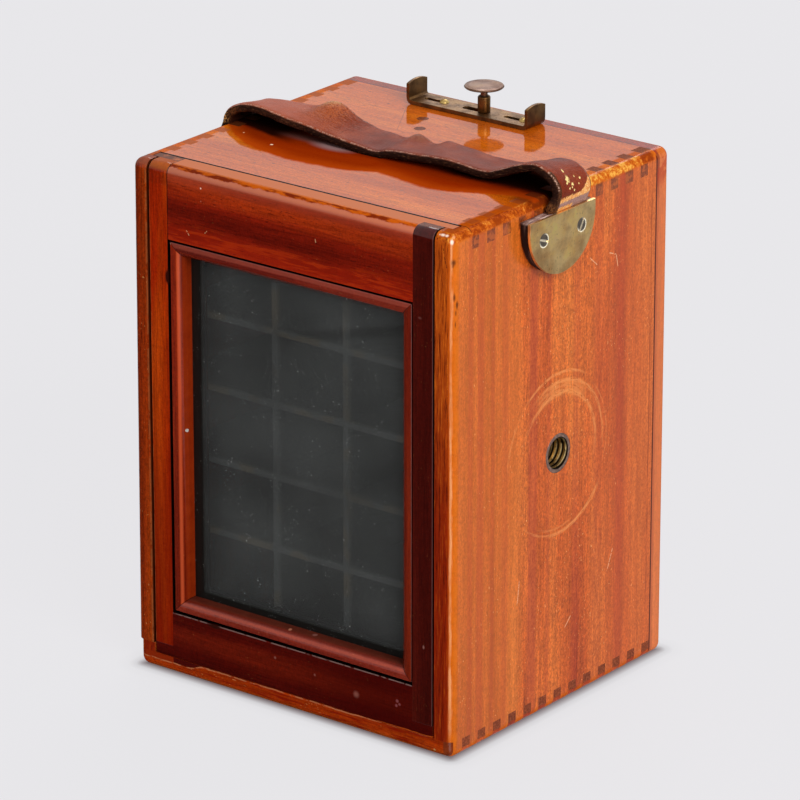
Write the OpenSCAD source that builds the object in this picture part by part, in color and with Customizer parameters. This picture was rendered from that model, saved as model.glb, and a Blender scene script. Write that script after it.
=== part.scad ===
// Fifteen-lens stamp camera for a quarter plate, a comb-jointed mahogany box.
// Millimetres, +Z up, origin at the bottom centre of the box.
// The focusing screen is the -Y face, the lens panel the +Y face,
// and the wall with the tripod bush is at +X.

/* [Box] */
// Width over the two side walls
box_w = 110.5; // [108:0.5:116]
// Depth from the focusing screen to the lens panel
box_d = 98.7; // [96:0.1:106]
// Height from the base to the top of the box
box_h = 150; // [148:0.5:156]
// Thickness of each side wall
wall_t = 6; // [5.5:0.1:6.5]
// Thickness of the top board
top_t = 5.8; // [5:0.1:6.5]
// Thickness of the base board
base_t = 5; // [4.5:0.1:5.5]
// Thickness of the lens panel
panel_t = 6.2; // [5.5:0.1:7]
// Rounding of the outer edges of the box
edge_r = 2.7; // [1.5:0.1:3]

/* [Comb joints] */
// Distance from one finger of a comb joint to the next
comb_pitch = 6.97; // [6:0.01:8]
// Width of one finger
comb_finger = 3.48; // [2.8:0.01:3.8]
// First finger of the base board, from the screen face
base_comb_start = 6.55; // [5:0.05:8]
// First finger of the top board, from that board's front edge
top_comb_start = 1.2; // [1:0.05:2]

/* [Focusing screen] */
// Thickness of the screen frame
screen_t = 7.9; // [7.5:0.1:8.5]
// Width of the quarter-plate glass
glass_w = 82.3; // [81:0.1:82.4]
// Height of the quarter-plate glass
glass_h = 108.2; // [106:0.1:108.4]
// Height of the middle of the glass above the base
glass_z = 73.7; // [72:0.1:75]
// Depth of the glass behind the face of the frame
glass_depth = 4.3; // [3.8:0.1:4.5]
// Thickness of the ground glass
glass_t = 1.7; // [1.2:0.1:1.8]
// Width of the beads that hold the glass
bead_w = 4; // [3:0.1:4.2]
// How far the screen lifts in its grooves
screen_travel = 140; // [100:1:140]

/* [Lenses and partitions] */
// Columns of lenses
columns = 3; // [3:1:3]
// Rows of lenses
rows = 5; // [5:1:5]
// Distance from one column to the next
column_pitch = 24.6; // [23:0.1:25]
// Distance from one row to the next
row_pitch = 21.2; // [20:0.1:21.5]
// Height of the middle row above the base
grid_z = 74.4; // [73:0.1:75]
// Diameter of each lens opening in the lens panel
opening_d = 7; // [5:0.1:7.4]
// Thickness of the partitions
partition_t = 1.6; // [1.2:0.1:2]

/* [Shutter] */
// Travel of the slide from one closed end to the other
slide_travel = 6; // [5.6:0.1:6]
// Length of the slide bar
bar_l = 42.2; // [41:0.1:43]
// Width of the slide bar
bar_w = 8.5; // [7.5:0.1:9]
// Thickness of the brass of the slide bar
bar_t = 1.2; // [1:0.05:1.3]
// Height of the finger lugs at their corners
lug_h = 5.9; // [5:0.1:6.5]
// Middle of the bar in the depth of the box
bar_y = 39.4; // [39.2:0.05:39.6]
// Place of the push button across the box
button_x = -1.5; // [-2.5:0.1:1.5]
// Distance from the push button to each bar screw
bar_screw_step = 13.9; // [13.7:0.1:14.2]
// Travel of the push button
button_travel = 1.5; // [1.2:0.1:1.5]
// Diameter of the push button
button_d = 11.3; // [9:0.1:12]

/* [Strap and fittings] */
// Width of the leather strap
strap_w = 16; // [14:0.5:18]
// Thickness of the leather strap
strap_t = 2.2; // [1.8:0.1:2.4]
// Radius of the round end of the strap plates
plate_r = 14.7; // [13:0.1:16]
// Thickness of the strap plates
plate_t = 0.9; // [0.8:0.1:1.2]
// Radius of the bore of the tripod bush
bush_bore_r = 4.2; // [4:0.05:4.4]
// Height of the tripod bush above the base
bush_z = 75; // [70:0.5:80]

/* [Hidden] */

eps = 0.01;
back_y = -box_d / 2;
panel_y = box_d / 2 - panel_t;
inner_x = box_w / 2 - wall_t;
top_z = box_h - top_t;
fine = 64;
coarse = 32;

// The screen frame, its tongues and the grooves that they run in
left_gap = 0.25;
right_gap = 0.55;
frame_left = inner_x - left_gap;
frame_right = inner_x - right_gap;
frame_back = back_y + screen_t;
seam_y = frame_back + 0.5;
lap_y = back_y + 4.9;
tongue_x = inner_x + 2.15;
groove_x = inner_x + 2.6;
groove_y = lap_y - 0.15;
frame_z = base_t + 0.1;
foot_h = 3.4;
rebate_left = 42.7;
rebate_right = 41.9;
rebate_z0 = glass_z - glass_h / 2 - 0.85;
rebate_z1 = glass_z + glass_h / 2 + 1.1;
glass_y = back_y + glass_depth;
ledge_y = glass_y + glass_t + 0.05;
sight_x = 35.4;
sight_z0 = glass_z - glass_h / 2 + 6.2;
sight_z1 = glass_z + glass_h / 2 - 6.2;
strip_z = 7.8;
strip_proud = 0.75;
strip_gap = 0.65;

// Outline of the four beads, which leave a dark gap to the frame, and their rounded section
bead_left_x = 41.9;
bead_right_x = 41.5;
bead_z0 = rebate_z0 + 0.75;
bead_z1 = rebate_z1 - 0.6;
bead_l = bead_left_x + bead_right_x;
bead_mid = (bead_right_x - bead_left_x) / 2;
bead_nose_r = 2.6;
bead_edge_r = 0.4;
pin_y = back_y + 1.65;

// Places of the lenses, the shutter and the parts round them
lens_board_y = 27;
lens_board_t = 4;
cell_r = 5;
cell_bore_r = 3.8;
cell_front = 36;
lens_glass_y = lens_board_y + 4.2;
opening_bevel = 2;
flange_w = 1.4;
plug_r = 1.7;
shutter_y = 36.6;
shutter_t = 0.8;
stop_y = 38.4;
stop_t = 0.5;
stop_r = 1.5;
shutter_hole_r = 1.3;
rail_y = 34.5;
rail_h = 15;
shutter_z = 16.4;
shutter_half = 42;
shutter_top = 140;
flange_x0 = -16;
flange_x1 = 14;
rail_top_z = 132;
rail_top_h = 6;
slide_gap = 0.1;
flange_t = 0.8;
flange_z = top_z - 1.6;
partition_y = seam_y + 0.1;
partition_mid = (partition_y + lens_board_y) / 2;
slot_r = 0.8;
screw_r = 0.75;
pin_r = 1;
pin_step = 7;
bar_z = box_h + 0.05;
bar_top = bar_z + bar_t;
bar_x = button_x - slide_travel / 2;
bar_crown = 0.8;
shank_r = 1.15;
barrel_r = 1.8;
barrel_z = bar_top + 0.1;
barrel_h = 4.6;
barrel_bore_r = 1.45;
barrel_lid = 0.8;
socket_r = 2.2;
collar_gap = 0.05;
neck_l = 2.4;
disc_t = 0.8;
plate_y = -5.7;
plate_top = 146.1;
plate_side = 2.4;
tab_t = 2.9;
tab_x = box_w / 2;
strap_screw_y = 8.5;
strap_screw_z = 140.2;
bush_y = -1.75;
bush_r = 5.65;
bush_floor = 0.7;
panel_screw_l = 16;

column_x = [for (i = [0:columns - 1]) (i - (columns - 1) / 2) * column_pitch];
row_z = [for (i = [0:rows - 1]) grid_z + (i - (rows - 1) / 2) * row_pitch];
base_fingers = [for (y = back_y + base_comb_start - comb_pitch;
    y < panel_y - comb_finger / 2; y = y + comb_pitch) y];
top_fingers = [for (y = seam_y + top_comb_start;
    y < panel_y - comb_finger / 2; y = y + comb_pitch) y];

// The strap's upper face: x and z of the edge nearer the screen, then of the edge nearer the lenses.
// It lies slack on the top board, with an arch at the right end and a curl over the left edge.
strap_route = [
    [-58.1, 146.1, -58.1, 146.1], [-58.1, 148, -58.1, 148], [-57.6, 150, -57.6, 150],
    [-56.5, 152.2, -56.6, 151.8], [-54.2, 154.1, -54.5, 153.4], [-51.4, 155.6, -51.5, 154.4],
    [-47.2, 156.5, -47.2, 154.9], [-42.5, 156.3, -42.5, 155.1], [-38, 155.7, -38, 155.4],
    [-33.5, 155.1, -33.5, 156], [-29.3, 154.8, -29.3, 157], [-25, 154.4, -25.6, 156.8],
    [-20.7, 153.8, -21, 155.4], [-16.6, 153.1, -16.8, 153.8], [-12.5, 152.7, -12.3, 152.9],
    [-7.5, 152.5, -7.5, 152.5], [-2.5, 152.5, -2.5, 152.5], [2, 152.7, 2, 153.3],
    [6.5, 153.3, 6.5, 152.8], [11, 153.8, 11, 153.2], [16, 154.2, 15.5, 153.6],
    [21, 154.2, 21, 152.9], [26, 153.9, 26, 152.5], [31, 153.6, 31, 152.5],
    [35.5, 153.8, 36, 152.5], [39.5, 155, 40.5, 153.3], [43.5, 156.7, 45, 154.9],
    [47.5, 158.1, 49.2, 156.3], [51.2, 158.8, 52.8, 156.6], [54.5, 158.1, 55.6, 155.8],
    [57.3, 156.5, 57.6, 154.1], [59.3, 154.2, 59, 152], [59.9, 151.6, 59.3, 149.8],
    [59.2, 148.8, 58.8, 147.9], [58.1, 146.1, 58.1, 146.1]];
strap_y0 = -9;

module rounded_rect(a, b, r) {
    square([a, b - 2 * r], center = true);
    square([a - 2 * r, b], center = true);
    for (i = [-1, 1], j = [-1, 1])
        translate([i * (a / 2 - r), j * (b / 2 - r)]) circle(r, $fn = fine);
}

// The whole box with its outer edges and corners rounded
module envelope() {
    translate([0, 0, box_h / 2]) difference() {
        intersection() {
            linear_extrude(box_h, center = true) rounded_rect(box_w, box_d, edge_r);
            rotate([90, 0, 0]) linear_extrude(box_d, center = true) rounded_rect(box_w, box_h, edge_r);
            rotate([90, 0, 90]) linear_extrude(box_w, center = true) rounded_rect(box_d, box_h, edge_r);
        }
        for (i = [-1, 1], j = [-1, 1], k = [-1, 1]) scale([i, j, k]) corner_waste();
    }
}

// What is left outside the ball at one corner
module corner_waste() {
    translate([box_w / 2 - edge_r, box_d / 2 - edge_r, box_h / 2 - edge_r]) difference() {
        cube(edge_r + 1);
        sphere(edge_r, $fn = fine);
    }
}

// A block between two corners
module block(a, b) {
    translate(a) cube(b - a);
}

// A plain cylinder along Y, from y0 to y1
module rod_y(x, z, r, y0, y1) {
    translate([x, y1, z]) rotate([90, 0, 0]) cylinder(h = y1 - y0, r = r, $fn = coarse);
}

// A slot with round ends, cut straight down
module slot(x, y, r, travel, z0, z1) {
    translate([x, y, z0]) linear_extrude(z1 - z0) {
        translate([-travel / 2, -r]) square([travel, 2 * r]);
        for (s = [-1, 1]) translate([s * travel / 2, 0]) circle(r, $fn = coarse);
    }
}

// The fingers of the base board and of the top board, at the +X wall
module base_comb() {
    for (y = base_fingers)
        block([inner_x, y - comb_finger / 2, 0], [box_w / 2, y + comb_finger / 2, base_t]);
}

module top_comb() {
    for (y = top_fingers)
        block([inner_x, max(seam_y, y - comb_finger / 2), top_z], [box_w / 2, y + comb_finger / 2, box_h]);
}

// One side wall, drawn as the +X one, with its groove for the screen's tongue
module side_wall() {
    intersection() {
        difference() {
            block([inner_x, back_y, 0], [box_w / 2, panel_y, box_h]);
            base_comb();
            top_comb();
            block([inner_x - eps, groove_y, base_t], [groove_x, seam_y, box_h + eps]);
        }
        envelope();
    }
}

module left_wall() {
    color("sienna") difference() {
        mirror([1, 0, 0]) side_wall();
        block([-box_w / 2 - eps, back_y - eps, strip_z], [-inner_x + eps, groove_y, box_h + eps]);
        for (s = [-1, 1]) strap_screw_hole(-1, s);
        panel_screw_bodies();
    }
}

module right_wall() {
    color("sienna") difference() {
        side_wall();
        translate([inner_x - eps, bush_y, bush_z]) rotate([0, 90, 0])
            cylinder(h = wall_t + 2 * eps, r = bush_r, $fn = fine);
        for (s = [-1, 1]) strap_screw_hole(1, s);
        panel_screw_bodies();
    }
}

// The separate length of wood in front of the left groove, flush at its top and proud at its foot
module left_edge_strip() {
    lean = atan(strip_proud / (box_h - strip_z));
    color("sienna") intersection() {
        block([-box_w / 2 - 2, back_y, strip_z], [-inner_x - strip_gap, groove_y, box_h]);
        translate([-box_w / 2, 0, box_h]) rotate([0, lean, 0]) translate([box_w / 2, 0, -box_h]) envelope();
    }
}

module top_board() {
    color("peru") intersection() {
        difference() {
            union() {
                block([-inner_x, seam_y, top_z], [inner_x, panel_y, box_h]);
                top_comb();
                mirror([1, 0, 0]) top_comb();
            }
            for (s = [-1, 1]) {
                slot(bar_x + slide_travel / 2 + s * pin_step, bar_y, pin_r + 0.2, slide_travel,
                    top_z - eps, box_h + eps);
                translate([button_x + s * bar_screw_step, bar_y, box_h - 5])
                    cylinder(h = 5 + eps, r = screw_r, $fn = coarse);
            }
            translate([button_x, bar_y, top_z - eps]) cylinder(h = top_t + 1, r = socket_r, $fn = coarse);
            top_plug_bodies();
        }
        envelope();
    }
}

module base_board() {
    color("peru") intersection() {
        union() {
            block([-inner_x, back_y, 0], [inner_x, panel_y, base_t]);
            base_comb();
            mirror([1, 0, 0]) base_comb();
        }
        envelope();
    }
}

module lens_panel() {
    color("sienna") difference() {
        intersection() {
            block([-box_w / 2, panel_y, 0], [box_w / 2, box_d / 2, box_h]);
            envelope();
        }
        for (x = column_x, z = row_z) {
            rod_y(x, z, opening_d / 2, panel_y - eps, box_d / 2 + eps);
            translate([x, box_d / 2 - opening_bevel, z]) rotate([-90, 0, 0])
                cylinder(h = opening_bevel + eps, r1 = opening_d / 2,
                    r2 = opening_d / 2 + opening_bevel, $fn = coarse);
        }
        panel_screw_bodies();
    }
}

// The two dark dowels that fill old holes in the top board
module top_plug_bodies() {
    for (p = [[-13.4, 26.9], [-8.5, 19.1]])
        translate([p[0], p[1], box_h - 4]) cylinder(h = 4, r = plug_r, $fn = coarse);
}

module top_plugs() {
    color("saddlebrown") top_plug_bodies();
}

// Countersunk screws that hold the lens panel to the walls
function panel_screw_places() = [for (x = [-1, 1], z = [14, 75, 136]) [x * (box_w / 2 - 4.2), z]];

module panel_screw_bodies() {
    head_h = 1.2;
    for (p = panel_screw_places()) {
        translate([p[0], box_d / 2 - head_h, p[1]]) rotate([-90, 0, 0])
            cylinder(h = head_h, r1 = 0.9, r2 = 2, $fn = coarse);
        rod_y(p[0], p[1], 0.9, box_d / 2 - panel_screw_l, box_d / 2 - head_h + eps);
    }
}

module panel_screws() {
    color("darkgoldenrod") difference() {
        panel_screw_bodies();
        for (p = panel_screw_places())
            block([p[0] - 3, box_d / 2 - 0.4, p[1] - 0.25], [p[0] + 3, box_d / 2 + 1, p[1] + 0.25]);
    }
}

module lens_board() {
    color("dimgray") difference() {
        block([-inner_x, lens_board_y, base_t], [inner_x, lens_board_y + lens_board_t, top_z]);
        for (x = column_x, z = row_z)
            rod_y(x, z, cell_r, lens_board_y - eps, lens_board_y + lens_board_t + eps);
    }
}

// One brass lens cell with a flange against the front of the lens board
module lens_cells() {
    color("goldenrod") for (x = column_x, z = row_z) difference() {
        union() {
            rod_y(x, z, cell_r, lens_board_y + 1, cell_front);
            rod_y(x, z, cell_r + flange_w, lens_board_y + lens_board_t, lens_board_y + lens_board_t + 1);
        }
        rod_y(x, z, cell_bore_r, lens_board_y, cell_front + eps);
    }
}

// Plano-convex glasses, one in each cell, flat towards the plate
module lens_glasses() {
    bulge_r = 12;
    edge_t = 1.2;
    steps = 6;
    low = edge_t - sqrt(bulge_r * bulge_r - cell_bore_r * cell_bore_r);
    face = [for (i = [steps:-1:0])
        let (x = cell_bore_r * i / steps)
        [x, low + sqrt(bulge_r * bulge_r - x * x)]];
    color("lightcyan") for (x = column_x, z = row_z) translate([x, lens_glass_y, z]) rotate([-90, 0, 0])
        rotate_extrude($fn = fine) polygon(concat([[0, 0], [cell_bore_r, 0]], face));
}

module stop_plate() {
    color("black") difference() {
        block([-44, stop_y, 9], [44, stop_y + stop_t, 138]);
        for (x = column_x, z = row_z) rod_y(x, z, stop_r, stop_y - eps, stop_y + stop_t + eps);
    }
}

module shutter_rail_bottom() {
    color("dimgray") difference() {
        block([-inner_x, rail_y, base_t], [inner_x, stop_y, base_t + rail_h]);
        block([-inner_x - eps, shutter_y - slide_gap, shutter_z - 0.3],
            [inner_x + eps, shutter_y + shutter_t + slide_gap, base_t + rail_h + eps]);
    }
}

module shutter_rail_top() {
    color("dimgray") {
        block([-inner_x, rail_y, rail_top_z], [inner_x, shutter_y - slide_gap, rail_top_z + rail_top_h]);
        block([-inner_x, shutter_y + shutter_t + slide_gap, rail_top_z],
            [inner_x, stop_y, rail_top_z + rail_top_h]);
    }
}

// Two uprights, slotted from the back for the shelves
module partition_uprights() {
    t = partition_t;
    color("black") for (s = [-1, 1]) difference() {
        block([s * column_pitch / 2 - t / 2, partition_y, base_t],
            [s * column_pitch / 2 + t / 2, lens_board_y, top_z]);
        for (z = shelf_heights())
            block([-inner_x, partition_y - eps, z - t / 2 - 0.05],
                [inner_x, partition_mid, z + t / 2 + 0.05]);
    }
}

function shelf_heights() = [for (i = [0:rows - 2]) grid_z + (i - (rows - 2) / 2) * row_pitch];

// Four shelves, slotted from the front for the uprights
module partition_shelves() {
    t = partition_t;
    color("black") for (z = shelf_heights()) difference() {
        block([-inner_x, partition_y, z - t / 2], [inner_x, lens_board_y, z + t / 2]);
        for (s = [-1, 1])
            block([s * column_pitch / 2 - t / 2 - 0.05, partition_mid, z - t],
                [s * column_pitch / 2 + t / 2 + 0.05, lens_board_y + eps, z + t]);
    }
}

// The space that the glass and its beads fill, cut from the frame members
module rebate() {
    block([-rebate_left, back_y - 1, rebate_z0], [rebate_right, ledge_y, rebate_z1]);
}

// A stile: its front half runs up to the top, its back half stands between the rails
module stile(side, inner, outer) {
    color("saddlebrown") intersection() {
        difference() {
            mirror([side < 0 ? 1 : 0, 0, 0]) union() {
                block([inner, back_y, frame_z + foot_h], [outer, lap_y, box_h]);
                block([sight_x, lap_y, sight_z0], [tongue_x, frame_back, sight_z1]);
            }
            rebate();
        }
        envelope();
    }
}

module screen_stile_left() {
    stile(-1, rebate_left, frame_left);
}

module screen_stile_right() {
    stile(1, rebate_right, frame_right);
}

module screen_rail_top() {
    color("maroon") intersection() {
        difference() {
            union() {
                block([-rebate_left, back_y, rebate_z1], [rebate_right, lap_y, box_h]);
                block([-tongue_x, lap_y, sight_z1], [tongue_x, frame_back, box_h]);
            }
            rebate();
        }
        envelope();
    }
}

module screen_rail_bottom() {
    color("maroon") difference() {
        union() {
            block([-frame_left, back_y, frame_z], [frame_right, lap_y, frame_z + foot_h]);
            block([-rebate_left, back_y, frame_z], [rebate_right, lap_y, rebate_z0]);
            block([-tongue_x, lap_y, frame_z], [tongue_x, frame_back, sight_z0]);
        }
        rebate();
    }
}

// One mitred bead along +X, its outer side at z = 0, rounded over towards the glass that it stops at
module bead(l) {
    flat = bead_w - bead_nose_r;
    intersection() {
        rotate([90, 0, 90]) linear_extrude(l, center = true) {
            translate([back_y + bead_nose_r, flat]) circle(bead_nose_r, $fn = fine);
            translate([back_y + bead_nose_r, 0]) square([glass_y - back_y - bead_nose_r, bead_w]);
            translate([back_y + bead_edge_r, 0]) square([bead_nose_r - bead_edge_r, flat]);
            translate([back_y, bead_edge_r]) square([bead_nose_r, flat - bead_edge_r]);
            translate([back_y + bead_edge_r, bead_edge_r]) circle(bead_edge_r, $fn = coarse);
        }
        translate([0, glass_y, 0]) rotate([90, 0, 0]) linear_extrude(glass_depth + 1)
            polygon([[-l / 2, 0], [l / 2, 0], [l / 2 - bead_w, bead_w], [-l / 2 + bead_w, bead_w]]);
    }
}

module bead_bottom() {
    color("firebrick") translate([bead_mid, 0, bead_z0]) bead(bead_l);
}

module bead_top() {
    color("firebrick") translate([bead_mid, 0, bead_z1]) mirror([0, 0, 1]) bead(bead_l);
}

module bead_right() {
    color("firebrick") translate([bead_right_x, 0, (bead_z0 + bead_z1) / 2]) rotate([0, -90, 0])
        bead(bead_z1 - bead_z0);
}

module bead_left() {
    color("firebrick") difference() {
        mirror([1, 0, 0]) translate([bead_left_x, 0, (bead_z0 + bead_z1) / 2]) rotate([0, -90, 0])
            bead(bead_z1 - bead_z0);
        bead_pin_body();
    }
}

// A bright pin driven through the left bead from its glass side
module bead_pin_body() {
    translate([-bead_left_x + 0.4, pin_y, glass_z]) rotate([0, 90, 0])
        cylinder(h = bead_w - 0.3, r = 0.45, $fn = coarse);
}

module bead_pin() {
    color("silver") bead_pin_body();
}

module ground_glass() {
    color("lightgray") block([-glass_w / 2, glass_y, glass_z - glass_h / 2],
        [glass_w / 2, glass_y + glass_t, glass_z + glass_h / 2]);
}

// Outline of the bar seen from the side: a strip with both ends bent up
module bar_profile() {
    bend_r = 1.7;
    inner_r = 0.8;
    lug_t = 0.95;
    top = lug_h + bar_crown;
    inside = bar_l / 2 - lug_t;
    difference() {
        union() {
            translate([-bar_l / 2 + bend_r, 0]) square([bar_l - 2 * bend_r, top]);
            translate([-bar_l / 2, bend_r]) square([bar_l, top - bend_r]);
            for (s = [-1, 1]) translate([s * (bar_l / 2 - bend_r), bend_r]) circle(bend_r, $fn = fine);
        }
        translate([-inside + inner_r, bar_t]) square([2 * (inside - inner_r), top]);
        translate([-inside, bar_t + inner_r]) square([2 * inside, top]);
        for (s = [-1, 1])
            translate([s * (inside - inner_r), bar_t + inner_r]) circle(inner_r, $fn = fine);
    }
}

// The bar with its lugs crowned by one long curve, its three slots and the holes for the pins
module slide_bar() {
    crown_r = (bar_w * bar_w / 4 + bar_crown * bar_crown) / (2 * bar_crown);
    color("darkgoldenrod") difference() {
        intersection() {
            translate([bar_x, bar_y + bar_w / 2, bar_z]) rotate([90, 0, 0])
                linear_extrude(bar_w) bar_profile();
            translate([bar_x, bar_y, bar_z + lug_h + bar_crown - crown_r]) rotate([0, 90, 0])
                cylinder(h = bar_l + 2, r = crown_r, center = true, $fn = 180);
        }
        for (s = [-1, 1]) {
            slot(bar_x + s * bar_screw_step, bar_y, slot_r, slide_travel, bar_z - 1, bar_top + 1);
            translate([bar_x + s * pin_step, bar_y, bar_z - 1])
                cylinder(h = bar_t + 2, r = pin_r, $fn = coarse);
        }
        slot(bar_x, bar_y, shank_r + 0.05, slide_travel, bar_z - 1, bar_top + 1);
    }
}

// The two pins that carry the motion down through the top board to the shutter plate
module drive_pins() {
    color("darkgoldenrod") for (s = [-1, 1])
        translate([bar_x + s * pin_step, bar_y, flange_z])
            cylinder(h = bar_top - flange_z, r = pin_r, $fn = coarse);
}

// Sheet with one hole for each lens and a flange on top. A tooth in the flange's slot
// meets the pressed button half way, with all the openings uncovered.
module shutter_plate() {
    stem_r = 0.6;
    pocket_r = stem_r + 0.1;
    closed = -slide_travel / 2;
    tooth_x = button_x + closed - stem_r;
    far_x = button_x + 2 * closed;
    back = shutter_y + shutter_t;
    color("dimgray") difference() {
        union() {
            block([closed - shutter_half, shutter_y, shutter_z],
                [closed + shutter_half, back, shutter_top]);
            block([closed + flange_x0, shutter_y, shutter_top - eps],
                [closed + flange_x1, back, flange_z + eps]);
            block([closed + flange_x0, shutter_y, flange_z],
                [closed + flange_x1, bar_y + 2.2, flange_z + flange_t]);
        }
        for (x = column_x, z = row_z)
            rod_y(x + closed, z, shutter_hole_r, shutter_y - eps, back + eps);
        for (s = [-1, 1])
            translate([bar_x + s * pin_step, bar_y, flange_z - 1]) cylinder(h = 4, r = pin_r, $fn = coarse);
        block([tooth_x, bar_y - pocket_r, flange_z - 1],
            [button_x + pocket_r, bar_y + pocket_r, flange_z + 2]);
        block([far_x - pocket_r, bar_y - pocket_r, flange_z - 1],
            [far_x + pocket_r, bar_y + pocket_r, flange_z + 2]);
    }
}

// Round-head screws that hold the bar down through its slots
module bar_screws() {
    head_r = 1.4;
    head_h = 0.9;
    dome_r = (head_r * head_r + head_h * head_h) / (2 * head_h);
    seat_z = bar_top + 0.05;
    color("goldenrod") for (s = [-1, 1])
        translate([button_x + s * bar_screw_step, bar_y, 0]) difference() {
            union() {
                translate([0, 0, box_h - 5]) cylinder(h = seat_z - box_h + 5, r = screw_r, $fn = coarse);
                intersection() {
                    translate([0, 0, seat_z]) cylinder(h = head_h + 1, r = head_r, $fn = coarse);
                    translate([0, 0, seat_z + head_h - dome_r]) sphere(dome_r, $fn = fine);
                }
            }
            rotate([0, 0, 90 + s * 25]) block([-2, -0.17, seat_z + 0.5], [2, 0.17, seat_z + 2]);
        }
}

// The fixed lower part of the button, screwed into the top board
module button_socket() {
    color("darkgoldenrod") translate([button_x, bar_y, 0]) difference() {
        union() {
            translate([0, 0, top_z]) cylinder(h = box_h - top_z, r = socket_r, $fn = coarse);
            translate([0, 0, box_h - eps])
                cylinder(h = barrel_z - box_h + 2 * eps, r = shank_r, $fn = coarse);
            translate([0, 0, barrel_z]) cylinder(h = 0.6, r = barrel_bore_r, $fn = coarse);
        }
        translate([0, 0, top_z - 1]) cylinder(h = top_t + 10, r = 0.7, $fn = coarse);
    }
}

// The sleeve that guides the button and holds its spring
module button_barrel() {
    color("darkgoldenrod") translate([button_x, bar_y, barrel_z]) rotate_extrude($fn = fine) difference() {
        polygon([[0, 0], [barrel_r, 0], [barrel_r, barrel_h - 0.35],
            [barrel_r - 0.3, barrel_h], [0, barrel_h]]);
        translate([-eps, -eps]) square([barrel_bore_r + eps, barrel_h - barrel_lid + eps]);
        translate([-eps, 0]) square([1.05 + eps, barrel_h + 1]);
    }
}

// The push button: a thin disc on a neck, a collar inside the barrel and a long stem
module button() {
    neck_r = 1;
    collar_z = barrel_z + barrel_h - barrel_lid - collar_gap;
    disc_z = barrel_z + barrel_h + neck_l;
    stem_z = flange_z + flange_t + 0.2;
    disc_r = button_d / 2;
    color("rosybrown") translate([button_x, bar_y, 0]) rotate_extrude($fn = fine) {
        translate([0, stem_z]) square([0.6, disc_z - stem_z]);
        translate([0, collar_z - 0.5]) square([1.35, 0.5]);
        translate([0, collar_z - 0.5]) square([neck_r, disc_z - collar_z + 0.5]);
        polygon([[0, disc_z], [disc_r - 0.3, disc_z], [disc_r, disc_z + 0.3],
            [disc_r - 0.25, disc_z + 0.65], [disc_r - 1.2, disc_z + disc_t], [0, disc_z + disc_t + 0.1]]);
    }
}

// A coil of thin wire under the button's collar, as one tube
module button_spring() {
    wire_r = 0.13;
    curls = 4;
    per_curl = 8;
    sides = 6;
    r = 1.03;
    z0 = barrel_z + 0.6 + wire_r + 0.05;
    z1 = barrel_z + barrel_h - barrel_lid - collar_gap - 0.5 - wire_r - 0.05;
    n = curls * per_curl;
    points = [for (i = [0:n], j = [0:sides - 1])
        let (a = i * 360 / per_curl, b = j * 360 / sides, d = r + wire_r * cos(b))
        [button_x + d * cos(a), bar_y + d * sin(a), z0 + (z1 - z0) * i / n + wire_r * sin(b)]];
    walls = [for (i = [0:n - 1], j = [0:sides - 1])
        let (k = (j + 1) % sides)
        for (f = [[i * sides + j, (i + 1) * sides + j, (i + 1) * sides + k],
                [i * sides + j, (i + 1) * sides + k, i * sides + k]]) f];
    first = [for (j = [1:sides - 2]) [0, j, j + 1]];
    last = [for (j = [1:sides - 2]) [n * sides, n * sides + j + 1, n * sides + j]];
    color("silver") polyhedron(points, concat(walls, first, last));
}

// Unit vector square to the strap's run at one station, in the XZ plane, out of its upper face
function across(p, q) = let (d = q - p) [-d[1], d[0]] / norm(d);

// The strap's band as one polyhedron, four points round each station
module strap_band() {
    n = len(strap_route);
    near = [for (p = strap_route) [p[0], p[1]]];
    far = [for (p = strap_route) [p[2], p[3]]];
    function normal(e, i) = across(e[max(i - 1, 0)], e[min(i + 1, n - 1)]);
    function under(e, i) = e[i] - strap_t * (i == 0 ? [-1, 0] : i == n - 1 ? [1, 0] : normal(e, i));
    y0 = strap_y0;
    y1 = strap_y0 + strap_w;
    points = [for (i = [0:n - 1])
        let (a = under(near, i), b = near[i], c = far[i], d = under(far, i))
        for (q = [[a[0], y0, a[1]], [b[0], y0, b[1]], [c[0], y1, c[1]], [d[0], y1, d[1]]]) q];
    walls = [for (i = [0:n - 2], j = [0:3])
        let (k = (j + 1) % 4, u = i * 4, v = (i + 1) * 4)
        for (f = [[u + j, v + k, v + j], [u + j, u + k, v + k]]) f];
    ends = [[0, 2, 1], [0, 3, 2], [4 * n - 4, 4 * n - 3, 4 * n - 2], [4 * n - 4, 4 * n - 2, 4 * n - 1]];
    polyhedron(points, concat(walls, ends));
}

// The D outline of the strap's ends and plates, its flat edge up, in the YZ plane
module d_outline(r) {
    translate([plate_y, plate_top - plate_side]) {
        intersection() {
            circle(r, $fn = 96);
            translate([-r, -2 * r]) square([2 * r, 2 * r]);
        }
        translate([-r, -eps]) square([2 * r, plate_side + eps]);
    }
}

module d_plate(side, x0, x1, r) {
    translate([side > 0 ? x0 : -x1, 0, 0]) rotate([90, 0, 90]) linear_extrude(x1 - x0) d_outline(r);
}

module strap_screw_hole(side, s) {
    translate([side * (tab_x - 4), plate_y + s * strap_screw_y, strap_screw_z]) rotate([0, side * 90, 0])
        cylinder(h = 4 + tab_t + plate_t + eps, r = 1.1, $fn = coarse);
}

module strap() {
    color("saddlebrown") {
        strap_band();
        for (side = [-1, 1]) difference() {
            d_plate(side, tab_x, tab_x + tab_t, plate_r);
            for (s = [-1, 1]) strap_screw_hole(side, s);
        }
    }
}

module strap_plate(side) {
    color("darkkhaki") difference() {
        d_plate(side, tab_x + tab_t, tab_x + tab_t + plate_t, plate_r);
        for (s = [-1, 1]) {
            strap_screw_hole(side, s);
            strap_screw_head(side, s, 0.01);
        }
    }
}

module strap_plate_left() {
    strap_plate(-1);
}

module strap_plate_right() {
    strap_plate(1);
}

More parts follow.
